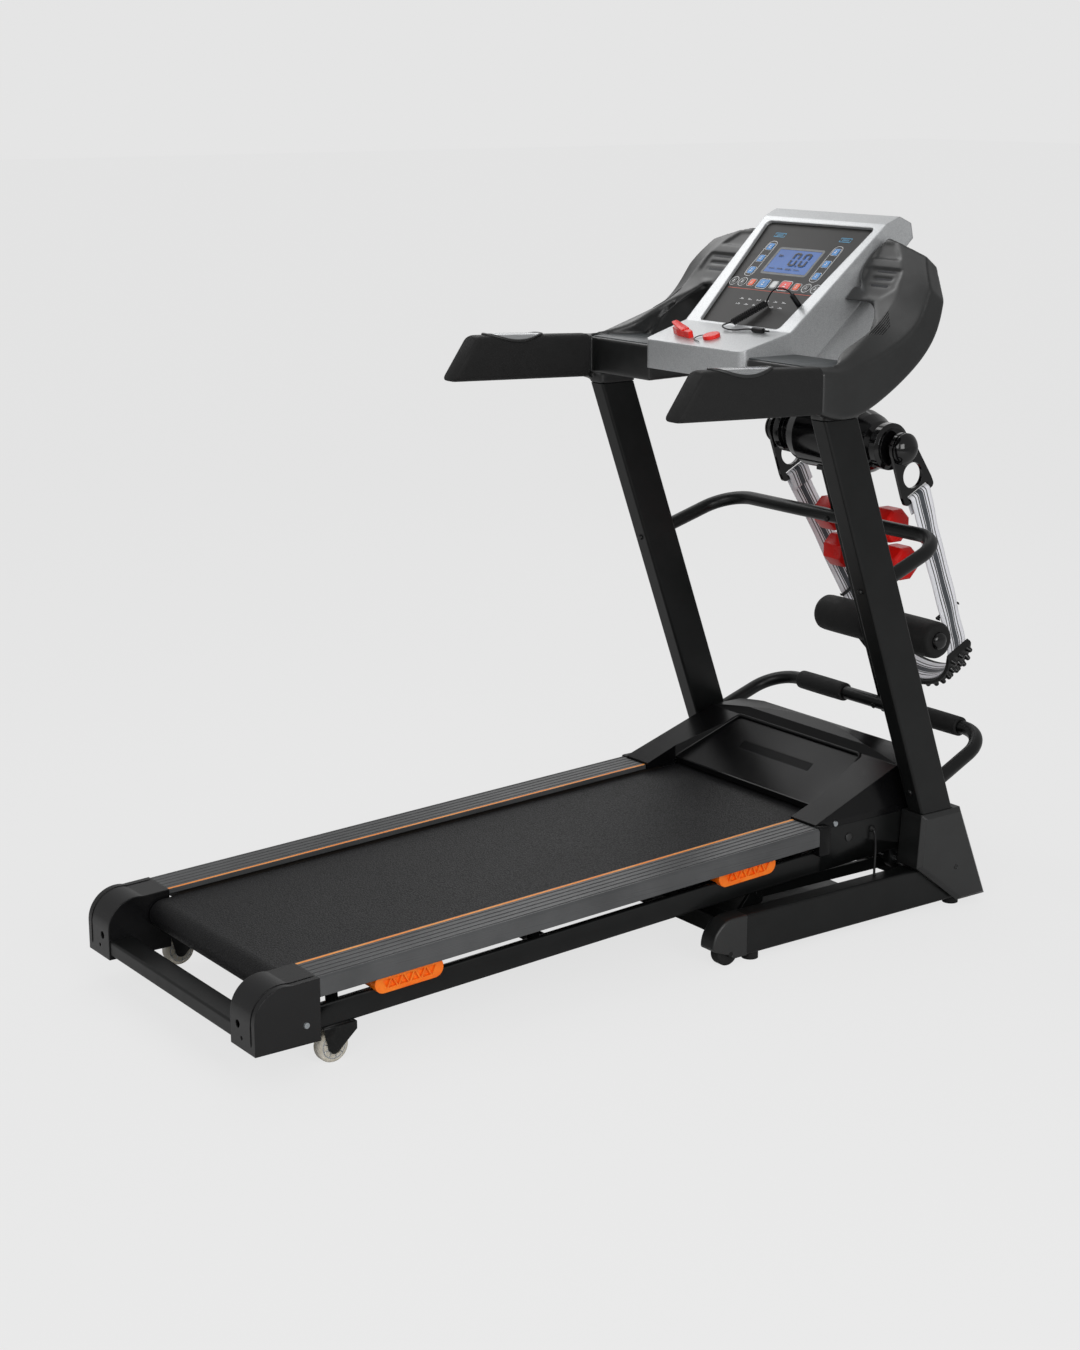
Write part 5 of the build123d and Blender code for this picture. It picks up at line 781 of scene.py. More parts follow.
# Massage belt: the plane it hangs in, its hooks, its sewn ends and its bottom arc
BELT_TOP = at(1556, 0, 912)
BELT_WIDE, BELT_UP = tilted(radians(27))
HOOK_MID = 182.0
LOOP_R = 7.0
LOOP_UP = -107.16
SEWN = 34.0
LEG_IN = 140.0
LEG_LOW = 470.0
SLANT = asin((HOOK_MID + LOOP_R - LEG_IN) / hypot(HOOK_MID - LEG_IN, LEG_LOW + LOOP_UP))
BOTTOM_R = LEG_IN / cos(SLANT)
BOTTOM_Z = -LEG_LOW + LEG_IN * tan(SLANT)
SEWN_STEPS = 8
LOOP_STEPS = 18
LEG_STEPS = 60
ARC_STEPS = 48


def on_belt(y, up, wide):
    """A point of the massage belt: millimetres to the left, up its plane and across its width."""
    return BELT_TOP + (ACROSS * y + BELT_UP * up + BELT_WIDE * wide) / 1000


def belt_half():
    """The strap's line from its sewn end over the right hook down to the bottom, as (y, up, outward)."""
    line = []
    for step in range(SEWN_STEPS + 1):
        line.append((-(HOOK_MID - LOOP_R), LOOP_UP - SEWN + SEWN * step / SEWN_STEPS, Vector((1, 0))))
    for step in range(1, LOOP_STEPS + 1):
        angle = (pi + SLANT) * step / LOOP_STEPS
        out = Vector((cos(angle), sin(angle)))
        line.append((-HOOK_MID + LOOP_R * out.x, LOOP_UP + LOOP_R * out.y, out))
    touch = line[-1]
    for step in range(1, LEG_STEPS + 1):
        part = step / LEG_STEPS
        y = touch[0] + (-LEG_IN - touch[0]) * part
        up = touch[1] + (-LEG_LOW - touch[1]) * part
        line.append((y, up, Vector((-cos(SLANT), -sin(SLANT)))))
    for step in range(1, ARC_STEPS + 1):
        angle = pi + SLANT + (pi / 2 - SLANT) * step / ARC_STEPS
        out = Vector((cos(angle), sin(angle)))
        line.append((BOTTOM_R * out.x, BOTTOM_Z + BOTTOM_R * out.y, out))
    return line


# Strap: its width, the ripples as (height, wave, slant), and how far from pad and hooks it lies flat
STRAP_W = 54.0
STRAP_CELLS = 12
STRAP_T = 0.0022
RIPPLES = ((1.6, 46, 1.3), (0.8, 19, 4))
CURL = 1.2
NARROWED = 0.035
PAD_HOLD = 175.0
HOOK_HOLD = 90.0


def faded(distance):
    """0 where the strap is held, rising to 1 over 60 mm."""
    return min(1.0, max(0.0, distance / 60))


right_half = belt_half()
left_half = [(-y, up, Vector((-out.x, out.y))) for y, up, out in reversed(right_half[:-1])]
strap_path = right_half + left_half
marks = [0.0]
for before, after in zip(strap_path, strap_path[1:]):
    marks.append(marks[-1] + hypot(after[0] - before[0], after[1] - before[1]))
strap_length = marks[-1]
strap_shape = bmesh.new()
strap_uv = strap_shape.loops.layers.uv.new("lay")
rows = []
for run, (y, up, out) in zip(marks, strap_path):
    off_middle = abs(run - strap_length / 2)
    loose = faded(off_middle - PAD_HOLD) * faded(strap_length / 2 - off_middle - HOOK_HOLD)
    row = []
    for cell in range(STRAP_CELLS + 1):
        part = cell / STRAP_CELLS
        ripple = sum(height * sin(run / wave + slant * part) for height, wave, slant in RIPPLES)
        lift = loose * (ripple - CURL * (2 * part - 1) ** 2)
        wide = (part - 0.5) * STRAP_W * (1 - NARROWED * loose)
        row.append(strap_shape.verts.new(on_belt(y + lift * out.x, up + lift * out.y, wide)))
    rows.append(row)
for index in range(len(rows) - 1):
    for cell in range(STRAP_CELLS):
        corners = ((cell, index), (cell + 1, index), (cell + 1, index + 1), (cell, index + 1))
        face = strap_shape.faces.new([rows[mark][column] for column, mark in corners])
        for loop, (column, mark) in zip(face.loops, corners):
            loop[strap_uv].uv = (column / STRAP_CELLS, marks[mark] / 1000)
strap = finish_piece("hanging_strap", strap_shape, strap_weave, "massage_belt", 80.0)
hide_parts("massage_strap")
thick = strap.modifiers.new("thickness", "SOLIDIFY")
thick.thickness = STRAP_T
thick.offset = 0.0

# Sliding buckles on the strap's two legs: two bars across the strap and a cheek at each end of them
BUCKLE_FROM = Vector((187.8, -105.0))
BUCKLE_TO = Vector((LEG_IN, -LEG_LOW))
BUCKLE_PART = 0.82
BUCKLE_BARS = (-4.4, -8.2)
BAR_ENDS = (-31.0, -30.2, 30.2, 31.0)
CHEEK_WIDE = (-30.0, 30.0)
CHEEK_REACH = (-9.2, 1.2)
buckle_shape = bmesh.new()
for side in SIDES:
    middle = BUCKLE_FROM.lerp(BUCKLE_TO, BUCKLE_PART)
    middle.x *= side
    down = (BUCKLE_TO - BUCKLE_FROM).normalized()
    down.x *= side
    out = Vector((side * cos(SLANT), -sin(SLANT)))
    for bar in BUCKLE_BARS:
        spots = [middle + down * a + out * (bar + b) for a, b in round_box(6.0, 1.8, 0.85, 3)]
        join_rings(buckle_shape, [[on_belt(*spot, wide) for spot in spots] for wide in BAR_ENDS])
    for wide in CHEEK_WIDE:
        rings = []
        for reach in CHEEK_REACH:
            edge = round_box(6.0, 2.0, 0.9, 3)
            rings.append([on_belt(*(middle + down * a + out * reach), wide + b) for a, b in edge])
        join_rings(buckle_shape, rings)
buckles = finish_piece("strap_buckles", buckle_shape, polished_abs, "massage_belt")

# Nubbed massage pad along the bottom of the loop, crowned and thinned towards its ends
PAD_SPREAD = radians(70)
PAD_T = 9.0
PAD_W = 74.0
PAD_OFF = 1.5
PAD_CROWN = 1.1
PAD_STEPS = 72
PAD_EASE_FROM = 0.93
PAD_EASE = 0.07
pad_rings = []
for step in range(PAD_STEPS + 1):
    part = 2 * step / PAD_STEPS - 1
    angle = -pi / 2 + PAD_SPREAD * part
    ease = max(0.0, (abs(part) - PAD_EASE_FROM) / PAD_EASE)
    slim = max(0.0, 1 - ease * ease) ** 0.5
    width = PAD_W * (1 - 0.12 * ease * ease)
    ring = []
    for a, b in round_box(width, PAD_T, 3.6, 4):
        crown = PAD_CROWN * (1 - (2 * a / PAD_W) ** 2) if b > 0 else 0.0
        radius = BOTTOM_R + PAD_OFF + PAD_T / 2 * slim + (b + crown) * slim
        ring.append(on_belt(radius * cos(angle), BOTTOM_Z + radius * sin(angle), a))
    pad_rings.append(ring)
pad = ring_piece("massage_cushion", pad_rings, rubber, "massage_belt", 60.0, "massage_pad")

# Nodules in rows across the pad
NODULE_ROWS = 13
NODULE_STEP = radians(10.5)
NODULE_WIDE = (-24, 0, 24)
NODULE_PROFILE = (
    (7.6, -1.2), (7.2, 0.4), (6.4, 2.6), (5.6, 5.0), (5.3, 7.0), (4.6, 9.0), (3.1, 10.4),
    (1.3, 11.0), (0, 11.1),
)
nodule = bmesh.new()
turned(nodule, NODULE_PROFILE, ORIGIN, UP, steps=16)
nodule_spots = []
reach = BOTTOM_R + PAD_OFF + PAD_T
for row in range(NODULE_ROWS):
    angle = -pi / 2 + NODULE_STEP * (row - (NODULE_ROWS - 1) / 2)
    out = ACROSS * cos(angle) + BELT_UP * sin(angle)
    for wide in NODULE_WIDE:
        nodule_spots.append((on_belt(reach * cos(angle), BOTTOM_Z + reach * sin(angle), wide), out))
repeated("pad_nodules", nodule, nodule_spots, polished_abs, "massage_belt")


def turned_pair(name, profile, centre, steps, material, body, node=None):
    """A profile turned about a line across the machine, on both sides of its middle."""
    shape = bmesh.new()
    for side in SIDES:
        turned(shape, profile, centre, ACROSS * side, steps=steps)
    return finish_piece(name, shape, material, body, crease=70.0, node=node)


# Foam rollers on the post's axle, with their shining end caps; the post leans between two bars at (x, z)
UPPER_BAR = (1542, 752)
LOWER_BAR = (1692, 333)
ROLLER_Z = 500
ROLLER_OFF = 58.87
post_lean = (LOWER_BAR[0] - UPPER_BAR[0]) / (UPPER_BAR[1] - LOWER_BAR[1])
ROLLER_C = at(UPPER_BAR[0] + post_lean * (UPPER_BAR[1] - ROLLER_Z) + ROLLER_OFF, 0, ROLLER_Z)
FOAM_PROFILE = (
    (12.0, 17.4), (30.0, 17.2), (35.6, 18.4), (38.1, 22.0), (38.6, 30.0), (38.9, 60.0), (39.0, 95.0),
    (38.9, 130.0), (38.5, 158.0), (37.6, 166.0), (34.6, 170.6), (29.0, 172.0), (20.0, 171.4), (12.0, 171.0),
)
CAP_PROFILE = (
    (8, 168.0), (18.4, 169.0), (19.0, 172.0), (18.0, 175.4), (15.0, 178.4), (10.0, 180.2),
    (5.0, 180.9), (0, 181.0),
)
rollers = turned_pair("roller_foam", FOAM_PROFILE, ROLLER_C, 64, foam, "foam_rollers", "foam_rollers")
turned_pair("roller_caps", CAP_PROFILE, ROLLER_C, 40, polished_abs, "foam_rollers")

# Foam sleeves on the lower bar
SLEEVE_PROFILE = (
    (14.3, 103.2), (18.2, 103.0), (19.6, 104.4), (20.0, 107.0), (20.3, 140.0), (20.4, 172.0), (20.3, 205.0),
    (20.0, 238.0), (19.6, 240.6), (18.2, 242.0), (14.3, 241.8),
)
bar_centre = at(LOWER_BAR[0], 0, LOWER_BAR[1])
sleeves = turned_pair("bar_foam", SLEEVE_PROFILE, bar_centre, 40, foam, "base", "bar_sleeves")

# Foam grips: crowned, with a raked and rounded rear end; edges as (x, z)
GRIP_LOW = (Vector((831, 1044)), Vector((1166, 1031)))
GRIP_HIGH = (Vector((893, 1131)), Vector((1166, 1118)))
GRIP_Y = 350.0
GRIP_T = 44.0
GRIP_CORNER = 13.0
GRIP_STEPS = 60
GRIP_END = 16.0
GRIP_BELLY = 1.2
grip_length = GRIP_LOW[1].x - GRIP_LOW[0].x
grip_rings = []
for step in range(GRIP_STEPS + 1):
    part = (step / GRIP_STEPS) ** 1.5
    low = GRIP_LOW[0].lerp(GRIP_LOW[1], part)
    high = GRIP_HIGH[0].lerp(GRIP_HIGH[1], part)
    ease = max(0.0, 1 - part * grip_length / GRIP_END)
    shrink = 1 - 0.5 * (1 - (1 - ease * ease) ** 0.5)
    wide = GRIP_T * (0.7 + 0.3 * shrink) + GRIP_BELLY * sin(pi * min(1.0, part * 1.04))
    tall = (high - low).length - GRIP_END * (1 - shrink)
    up = (high - low).normalized()
    ring = []
    for a, b in round_box(wide, tall, GRIP_CORNER - 4 * (1 - shrink), 5):
        point = (low + high) / 2 + up * b
        ring.append(at(point.x, GRIP_Y + a, point.y))
    grip_rings.append(ring)
grips = ring_piece("grip_foam", grip_rings, foam, "base", 60.0, "grips", both=True)


# Printed panel, display and keys: places up the panel and to its left, and how far the tops stand off it

LCD_AT = 178.0
LCD_TOP = 1.2
KEY_COLUMN_AT = (213.0, 180.0, 147.0)
KEY_COLUMN_Y = 96.0
KEY_ROW_AT = 115.0
KEY_TOP = 1.15
BRACKET_AT = 246.0

# Outlines of the keys, and two rows of small bars below them
white = bmesh.new()
for side in SIDES:
    ink_ring(white, 180, side * KEY_COLUMN_Y, 98, 27, 12, 1.1)
    for along in KEY_COLUMN_AT:
        ink_ring(white, along, side * KEY_COLUMN_Y, 19, 21, 4.5, 0.9)
    for y in (94, 120):
        ink_ring(white, KEY_ROW_AT, side * y, 23, 23, 11.4, 1.3)
    ink_ring(white, KEY_ROW_AT, side * 66, 19.5, 21.5, 4.5, 0.9)
    ink_ring(white, KEY_ROW_AT, side * 32, 26.5, 32.5, 6, 1.2)
ink_ring(white, KEY_ROW_AT, 0, 19.5, 19.5, 4.5, 0.9)
for row, along in enumerate((70, 56)):
    for column in range(6):
        for bar in range(4):
            height = 1.6 + 0.9 * ((bar * 7 + column * 3 + row * 5) % 4)
            ink_patch(white, along + height / 2, 62 - 25 * column - 3 * bar, height, 1.7, 0.3)
finish_piece("panel_outlines", white, white_ink, "base")

# Brackets above the two columns of keys
blue = bmesh.new()
for side in SIDES:
    for edge in SIDES:
        ink_patch(blue, BRACKET_AT + 5 * edge, side * KEY_COLUMN_Y, 1.6, 30, 0.7)
        for y in (-15, 15):
            ink_patch(blue, BRACKET_AT + 3.4 * edge, side * KEY_COLUMN_Y + y, 4.6, 1.6, 0.6)
    for rise in (1.4, -1.4):
        ink_patch(blue, BRACKET_AT + rise, side * KEY_COLUMN_Y, 1.2, 20, 0.5)
finish_piece("panel_brackets", blue, blue_ink, "base")

# Line below the row of keys
orange = bmesh.new()
ink_patch(orange, 97, 0, 1.1, 246, 0.5)
finish_piece("panel_line", orange, orange_ink, "base")

# Surround of the display
surround = bmesh.new()
ink_ring(surround, LCD_AT, 0, 74, 134, 7, 5.6, 0.1)
finish_piece("display_frame", surround, display_grey, "base")


def digit_zero(shape, along, y, length, width, line):
    """An upright nought of six segments on the display, in millimetres."""
    half = length / 2
    for rise in SIDES:
        ink_patch(shape, along + rise * (half - line / 2), y, line, width - 1.6 * line, 0.8, LCD_TOP)
        for side in SIDES:
            middle = (along + rise * half / 2, y + side * (width - line) / 2)
            ink_patch(shape, *middle, half - 0.9 * line, line, 0.8, LCD_TOP)


# Noughts with a point between them, and small bars beside and below them
digits = bmesh.new()
for y in (-2, -32):
    digit_zero(digits, LCD_AT + 6, y, 36, 20, 4.6)
ink_patch(digits, LCD_AT - 10.6, -17, 4.0, 4.0, 1.0, LCD_TOP)
for bar in range(3):
    ink_patch(digits, LCD_AT + 13, 48 - 4.4 * bar, 7.0 - 1.6 * bar, 2.6, 0.5, LCD_TOP)
for column in range(4):
    for bar in range(5):
        height = 2.4 + (bar * 3 + column) % 3
        ink_patch(digits, LCD_AT - 21, 50 - 24 * column - 3.2 * bar, height, 1.8, 0.4, LCD_TOP)
finish_piece("display_digits", digits, black_ink_and_shade, "base")


def key_marks(name, body, spots, size):
    """Small white marks on key tops: a bar over a dot, set at (along, y)."""
    shape = bmesh.new()
    for along, y in spots:
        ink_patch(shape, along + 0.22 * size, y, 0.34 * size, 0.3 * size, 0.12 * size, KEY_TOP)
        ink_patch(shape, along - 0.26 * size, y, 0.2 * size, 0.62 * size, 0.08 * size, KEY_TOP)
    finish_piece(name, shape, white_ink, body)


left_column = [(along, KEY_COLUMN_Y) for along in KEY_COLUMN_AT]
right_column = [(along, -KEY_COLUMN_Y) for along in KEY_COLUMN_AT]
key_row = [(KEY_ROW_AT, y) for y in (-120, -94, -66, 66, 94, 120)]
key_marks("incline_key_marks", "incline_quick_keys", left_column, 9)
key_marks("speed_key_marks", "speed_quick_keys", right_column, 9)
key_marks("mode_key_marks", "mode_keys", key_row, 8)
key_marks("start_key_mark", "start_key", [(KEY_ROW_AT, 32)], 12)
key_marks("stop_key_mark", "stop_key", [(KEY_ROW_AT, -32)], 12)


# Small hard parts


def drawn(a, b, z):
    """A point of a shape that is drawn round the origin in millimetres."""
    return Vector((a, b, z)) / 1000


def welded(node):
    """A bmesh of a node's solid, its doubled corners made one."""
    shape = bmesh.new()
    shape.from_mesh(NODES[node].data)
    bmesh.ops.remove_doubles(shape, verts=shape.verts, dist=1e-6)
    return shape


def softened(name, node, cell, passes, material, body, opening):
    """A copy of a solid with an opening cut and moulded edges: cells of some millimetres, then smoothed."""
    shape = welded(node)
    mesh = bpy.data.meshes.new(name)
    shape.to_mesh(mesh)
    shape.free()
    piece = put(name, mesh)
    cut = piece.modifiers.new("cut", "BOOLEAN")
    cut.operation = "DIFFERENCE"
    cut.solver = "EXACT"
    cut.object = opening
    grid = piece.modifiers.new("cells", "REMESH")
    grid.mode = "VOXEL"
    grid.voxel_size = cell / 1000
    grid.use_smooth_shade = True
    ease = piece.modifiers.new("ease", "SMOOTH")
    ease.factor = 0.5
    ease.iterations = passes
    made = settled(piece)
    piece.modifiers.clear()
    piece.data = made
    made.materials.clear()
    made.materials.append(material)
    bpy.data.objects.remove(opening)
    return attach(piece, body, node)


# Openings through the arms' plain webs, beside the console: (along the web's slope, outward) in millimetres
on_web = slope(at(1356, 0, 1171), radians(44.6))
WEB_EDGE = ((-100, 140), (-100, 318), (-47, 309), (24, 278), (60, 252), (60, 150))
WEB_DEPTH = (-7.5, 2.0)
opening_shape = bmesh.new()
for side in SIDES:
    join_rings(opening_shape, levelled(on_web, [(run, side * y) for run, y in WEB_EDGE], WEB_DEPTH))
web_opening = put("web_opening", smooth_mesh("web_opening", opening_shape))

# Handle arms with the rounded edges of their mould
arms = softened("arm_shells", "handle_arms", 2.4, 18, grained_abs, "base", web_opening)
arm_skin = skin_of(arms.data)

# Painted shade of the slots in the arms' sunk panels: dark patches laid on the shells
ARM_CLIMB, ARM_REAR = tilted(radians(53))
SLOT_PITCH = 16.0
slot_shade_spots = []
for side in SIDES:
    for step in (-1, 0, 1):
        middle = at(1429, side * (240 + 3 * step), 1257) + ARM_CLIMB * (SLOT_PITCH * step / 1000)
        slot_shade_spots.append((laid(arm_skin, middle + ARM_REAR * 0.05, -ARM_REAR), ARM_REAR))
slot_shade_shape = bmesh.new()
join_rings(slot_shade_shape, levelled(drawn, round_box(54, 5.4, 2.6, 4), (-1.0, 0.25)))
repeated("arm_slots", slot_shade_shape, slot_shade_spots, black_ink_and_shade, "base")

# Leaf of ribs beside the console: the first rib's ends, the step to the next and the way off the shell
LEAF_LOW = Vector((1322, 321, 1163))
LEAF_HIGH = Vector((1386, 306, 1204))
LEAF_STEP = Vector((1.4, 3.6, -1.6))
LEAF_OFF = Vector((-0.5, 0.3, 0.81))
LEAF_RIBS = 6
RIB_STEPS = 12
RIB_R = 1.1
rib_shape = bmesh.new()
for side in SIDES:
    off = Vector((LEAF_OFF.x, side * LEAF_OFF.y, LEAF_OFF.z)).normalized()
    for rib in range(LEAF_RIBS):
        line = []
        for step in range(RIB_STEPS + 1):
            part = 0.04 * rib + (1 - 0.12 * rib) * step / RIB_STEPS
            spot = LEAF_LOW.lerp(LEAF_HIGH, part) + LEAF_STEP * rib
            line.append(laid(arm_skin, at(spot.x, side * spot.y, spot.z) + off * 0.04, -off))
        bead(rib_shape, line, RIB_R, sides=8)
finish_piece("arm_ribs", rib_shape, polished_abs, "base", crease=70.0)

# The console's rear and front ends and its half widths there
CONSOLE_X = (1165, 1529)
CONSOLE_HALF = (146, 180)


def console_side(x):
    """Half width of the console at an x, in millimetres."""
    part = (x - CONSOLE_X[0]) / (CONSOLE_X[1] - CONSOLE_X[0])
    return CONSOLE_HALF[0] + (CONSOLE_HALF[1] - CONSOLE_HALF[0]) * part


# Silver cheeks that carry the console's sides down behind the arms: corners (x, z), layers (depth, inset)
CHEEK = (
    (1286, 1092), (1396, 1088), (1452, 1104), (1486, 1136),
    (1506, 1180), (1506, 1262), (1440, 1210), (1350, 1132),
)
CHEEK_LAYERS = ((0.4, 3.0), (0.8, 1.0), (2.0, 0.0), (14.0, 0.0))
cheek_corners = [Vector(corner) for corner in CHEEK]
cheek_middle = sum(cheek_corners, Vector((0, 0))) / len(CHEEK)
cheek_rings = []
for depth, inset in CHEEK_LAYERS:
    edge = [corner + (cheek_middle - corner).normalized() * inset for corner in cheek_corners]
    cheek_rings.append([at(x, console_side(x) - depth, z) for x, z in edge])
ring_piece("console_cheeks", cheek_rings, silver_paint, "base", 50.0, both=True)

# Grey ledges on the bridges between the arms and the console: layers as (inset, z)
LEDGE_X = (1182, 1290)
LEDGE_OUT = 338.0
LEDGE_GAP = 0.6
LEDGE_LAYERS = ((0, 1111.6), (0, 1113.2), (1.2, 1114.0))
ledge_rings = []
for inset, z in LEDGE_LAYERS:
    near_x = LEDGE_X[0] + inset
    far_x = LEDGE_X[1] - inset
    edge = (
        (near_x, console_side(near_x) + LEDGE_GAP + inset),
        (near_x, LEDGE_OUT - inset),
        (far_x, LEDGE_OUT - inset),
        (far_x, console_side(far_x) + LEDGE_GAP + inset),
    )
    ledge_rings.append([at(x, y, z) for x, y in edge])
ring_piece("arm_ledges", ledge_rings, grey_abs, "base", both=True)

# Dark strip under the lower edge of the hood's panel, just clear of the running belt: painted shade that
# closes the gap
GAP_SHADE_HALF = 224.0
GAP_SHADE_EDGE = ((1322, 223), (1326, 223.5), (1327, 210), (1324, 210))
gap_shade_rings = [[at(x, side * GAP_SHADE_HALF, z) for x, z in GAP_SHADE_EDGE] for side in SIDES]
ring_piece("hood_skirt", gap_shade_rings, satin_abs, "deck")

# Dark plate behind the vent slots of the hood's panel: painted shade that makes the slots read dark
on_hood = slope(at(1322, 0, 222), atan(76 / 148))
VENT_SHADE_AT = 92.0
VENT_SHADE_LEVELS = (-4.4, -3.4)
vent_shade_edge = [(VENT_SHADE_AT + a, b) for a, b in round_box(36, 236, 6, 4)]
ring_piece("vent_gauze", levelled(on_hood, vent_shade_edge, VENT_SHADE_LEVELS), black_ink_and_shade, "deck")

# Brackets that close the front ends of the side rails under the hood's wings: layers as (outward, inset)
BRACKET_X = 1259
BRACKET_Z = 189
BRACKET_LAYERS = ((296.0, 0.0), (312.6, 0.0), (314.2, 0.8), (314.8, 2.4))
bracket_rings = []
for y, inset in BRACKET_LAYERS:
    edge = round_box(28 - 2 * inset, 60 - 2 * inset, 4 - inset, 4)
    bracket_rings.append([at(BRACKET_X + a, y, BRACKET_Z + b) for a, b in edge])
ring_piece("rail_brackets", bracket_rings, satin_abs, "deck", 50.0, both=True)


def set_on_sides(name, profile, place, material, body):
    """A turned part on both outer sides: its profile, and its place on the left side, in millimetres."""
    shape = bmesh.new()
    turned(shape, profile, ORIGIN, UP, steps=28)
    x, y, z = place
    spots = [(at(x, side * y, z), ACROSS * side) for side in SIDES]
    repeated(name, shape, spots, material, body)


# Plugs over the front roller's axle, the gland of the signal cable, and holes in the upright covers
PLUG_PROFILE = ((9.0, -3.0), (9.0, 1.2), (8.0, 1.9), (0, 2.0))
GLAND_PROFILE = ((6.8, -0.6), (6.8, 2.2), (5.6, 3.4), (4.2, 4.4), (3.4, 7.4), (2.5, 8.2))
HOLE_PROFILE = ((5.4, -0.6), (5.3, 0.4), (4.6, 0.7), (3.9, 0.5), (3.6, 0.1), (0, 0.1))
set_on_sides("axle_plugs", PLUG_PROFILE, (1335.5, 299.2, 179.1), grained_abs, "deck")
gland_shape = bmesh.new()
turned(gland_shape, GLAND_PROFILE, at(1396, -299.2, 186), -ACROSS, steps=28)
finish_piece("cable_gland", gland_shape, rubber, "deck", crease=50.0)
set_on_sides("cover_holes", HOLE_PROFILE, (1568, 366, 90), polished_abs, "base")

# Upper blade of the safety clip, rising off its jaw: (run, rise, half width) from the jaw's place on the tray
BLADE = (
    (-12, 13.0, 8.6), (-6, 14.0, 9.0), (2, 15.0, 9.0), (12, 16.6, 8.6),
    (24, 19.0, 7.8), (33, 21.2, 6.8), (36, 22.0, 5.4),
)
BLADE_AT = (42, 74)
BLADE_T = 3.2
BLADE_TURN = radians(75)
blade_rings = []
for run, rise, half in BLADE:
    ring = []
    for a, b in round_box(2 * half, BLADE_T, 1.4, 3):
        along = BLADE_AT[0] + run * cos(BLADE_TURN) - a * sin(BLADE_TURN)
        y = BLADE_AT[1] + run * sin(BLADE_TURN) + a * cos(BLADE_TURN)
        ring.append(on_tray(along, y, rise + b))
    blade_rings.append(ring)
ring_piece("clip_blade", blade_rings, red_abs, "safety_key", 50.0)

# Seam along each end cap's profile just inside its outer face: up its rear, round its corner, over its top
SEAM_Y = 301.0
SEAM_R = 1.4
SEAM_STEPS = 13
cap_skin = skin_of(NODES["rear_caps"].data)
seam_shape = bmesh.new()
for side in SIDES:
    y = side * SEAM_Y
    seam = [laid(cap_skin, at(-60, y, z), AHEAD) for z in range(72, 112, 5)]
    for step in range(1, SEAM_STEPS):
        turn = pi - pi / 2 * step / SEAM_STEPS
        spoke = Vector((cos(turn), 0, sin(turn)))
        seam.append(laid(cap_skin, at(72, y, 112) + spoke * 0.2, -spoke))
    seam += [laid(cap_skin, at(x, y, 300), -UP) for x in range(74, 124, 6)]
    bead(seam_shape, seam, SEAM_R)
finish_piece("cap_seams", seam_shape, satin_abs, "deck", crease=70.0)

# Steel plate that ties the two base tubes under the lift: corners rounded, edges just inside the tubes
TIE_MIDDLE = 1255.0
TIE_LEVELS = (16.0, 19.0)
tie_edge = [(TIE_MIDDLE + a, b) for a, b in round_box(390.0, 611.0, 12.0)]
ring_piece("base_tie_plate", levelled(at, tie_edge, TIE_LEVELS), powder_coat, "base")

# Frame of the deck, its tubes' tops falling inward as in the photograph's pale slits under the rails
TUBE_EDGE = 292.0
TUBE_W = 30.0
TUBE_FALL = 9.0
TUBE_TOP = (80.0, 109.0)
TUBE_SLOPE = 0.046
TOP_BAND = 12.0
frame_shape = welded("deck_frame")
for vert in frame_shape.verts:
    inward = TUBE_EDGE - abs(vert.co.y) * 1000
    top = TUBE_TOP[1] + TUBE_SLOPE * ((vert.co.x - REAR_X) * 1000 - TUBE_TOP[0])
    if 0 < inward < TUBE_W + 1 and vert.co.z * 1000 > top - TOP_BAND:
        vert.co.z -= TUBE_FALL * inward / TUBE_W / 1000
finish_piece("deck_tubes", frame_shape, powder_coat, "deck", node="deck_frame")

# Rolled lip round three edges of the motor hood's sunk panel, with rounded corners
LIP_R = 3.6
feet = [at(1323, side * 228.5, 224) for side in SIDES]
corners = [at(1467, side * 188.5, 299.4) for side in SIDES]
lip_points = [
    feet[0],
    feet[0].lerp(corners[0], 0.86),
    corners[0],
    corners[0].lerp(corners[1], 0.06),
    corners[0].lerp(corners[1], 0.94),
    corners[1],
    corners[1].lerp(feet[1], 0.14),
    feet[1],
]
lip_line = smooth_line("hood_lip_line", lip_points, 0.0)
lip_line.data.splines[0].resolution_u = 8
lip_shape = bmesh.new()
bead(lip_shape, line_points(lip_line), LIP_R, sides=14)
bpy.data.objects.remove(lip_line)
finish_piece("hood_lips", lip_shape, satin_abs, "deck", crease=70.0)

# Dumbbells: eight-sided dipped heads on a round, slightly crowned handle
HEAD_PROFILE = (
    (13.0, 51.0), (22.0, 54.0), (32.0, 56.0), (36.0, 60.0), (37.0, 65.0), (37.0, 101.0), (36.0, 106.0),
    (32.0, 110.0), (26.0, 112.0), (10.0, 112.0), (0, 112.0),
)
HANDLE_PROFILE = ((0, -56.0), (13.6, -56.0), (14.0, -30.0), (14.0, 30.0), (13.6, 56.0), (0, 56.0))
head_corner = tilted(pi / 8)[0]
for name in ("dumbbell_upper", "dumbbell_lower"):
    low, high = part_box(name)
    weight_shape = bmesh.new()
    for side in SIDES:
        turned(weight_shape, HEAD_PROFILE, (low + high) / 2, ACROSS * side, head_corner, steps=8)
    turned(weight_shape, HANDLE_PROFILE, (low + high) / 2, ACROSS, head_corner, steps=32)
    finish_piece(name + "_skin", weight_shape, red_vinyl, name, crease=25.0, node=name)

# Hand-pulse plates: steel skins bent over the top of each grip, each in a black rim
PULSE_X = (921.0, 1056.0)
PULSE_OUT = 1.7
PULSE_CROWN = 1.1
PULSE_SUNK = -1.0
PULSE_HALF = (6.0, 27.0)
PULSE_STEPS = 48
PULSE_CELLS = 16
RIM_OUT = 1.0
RIM_R = 3.2


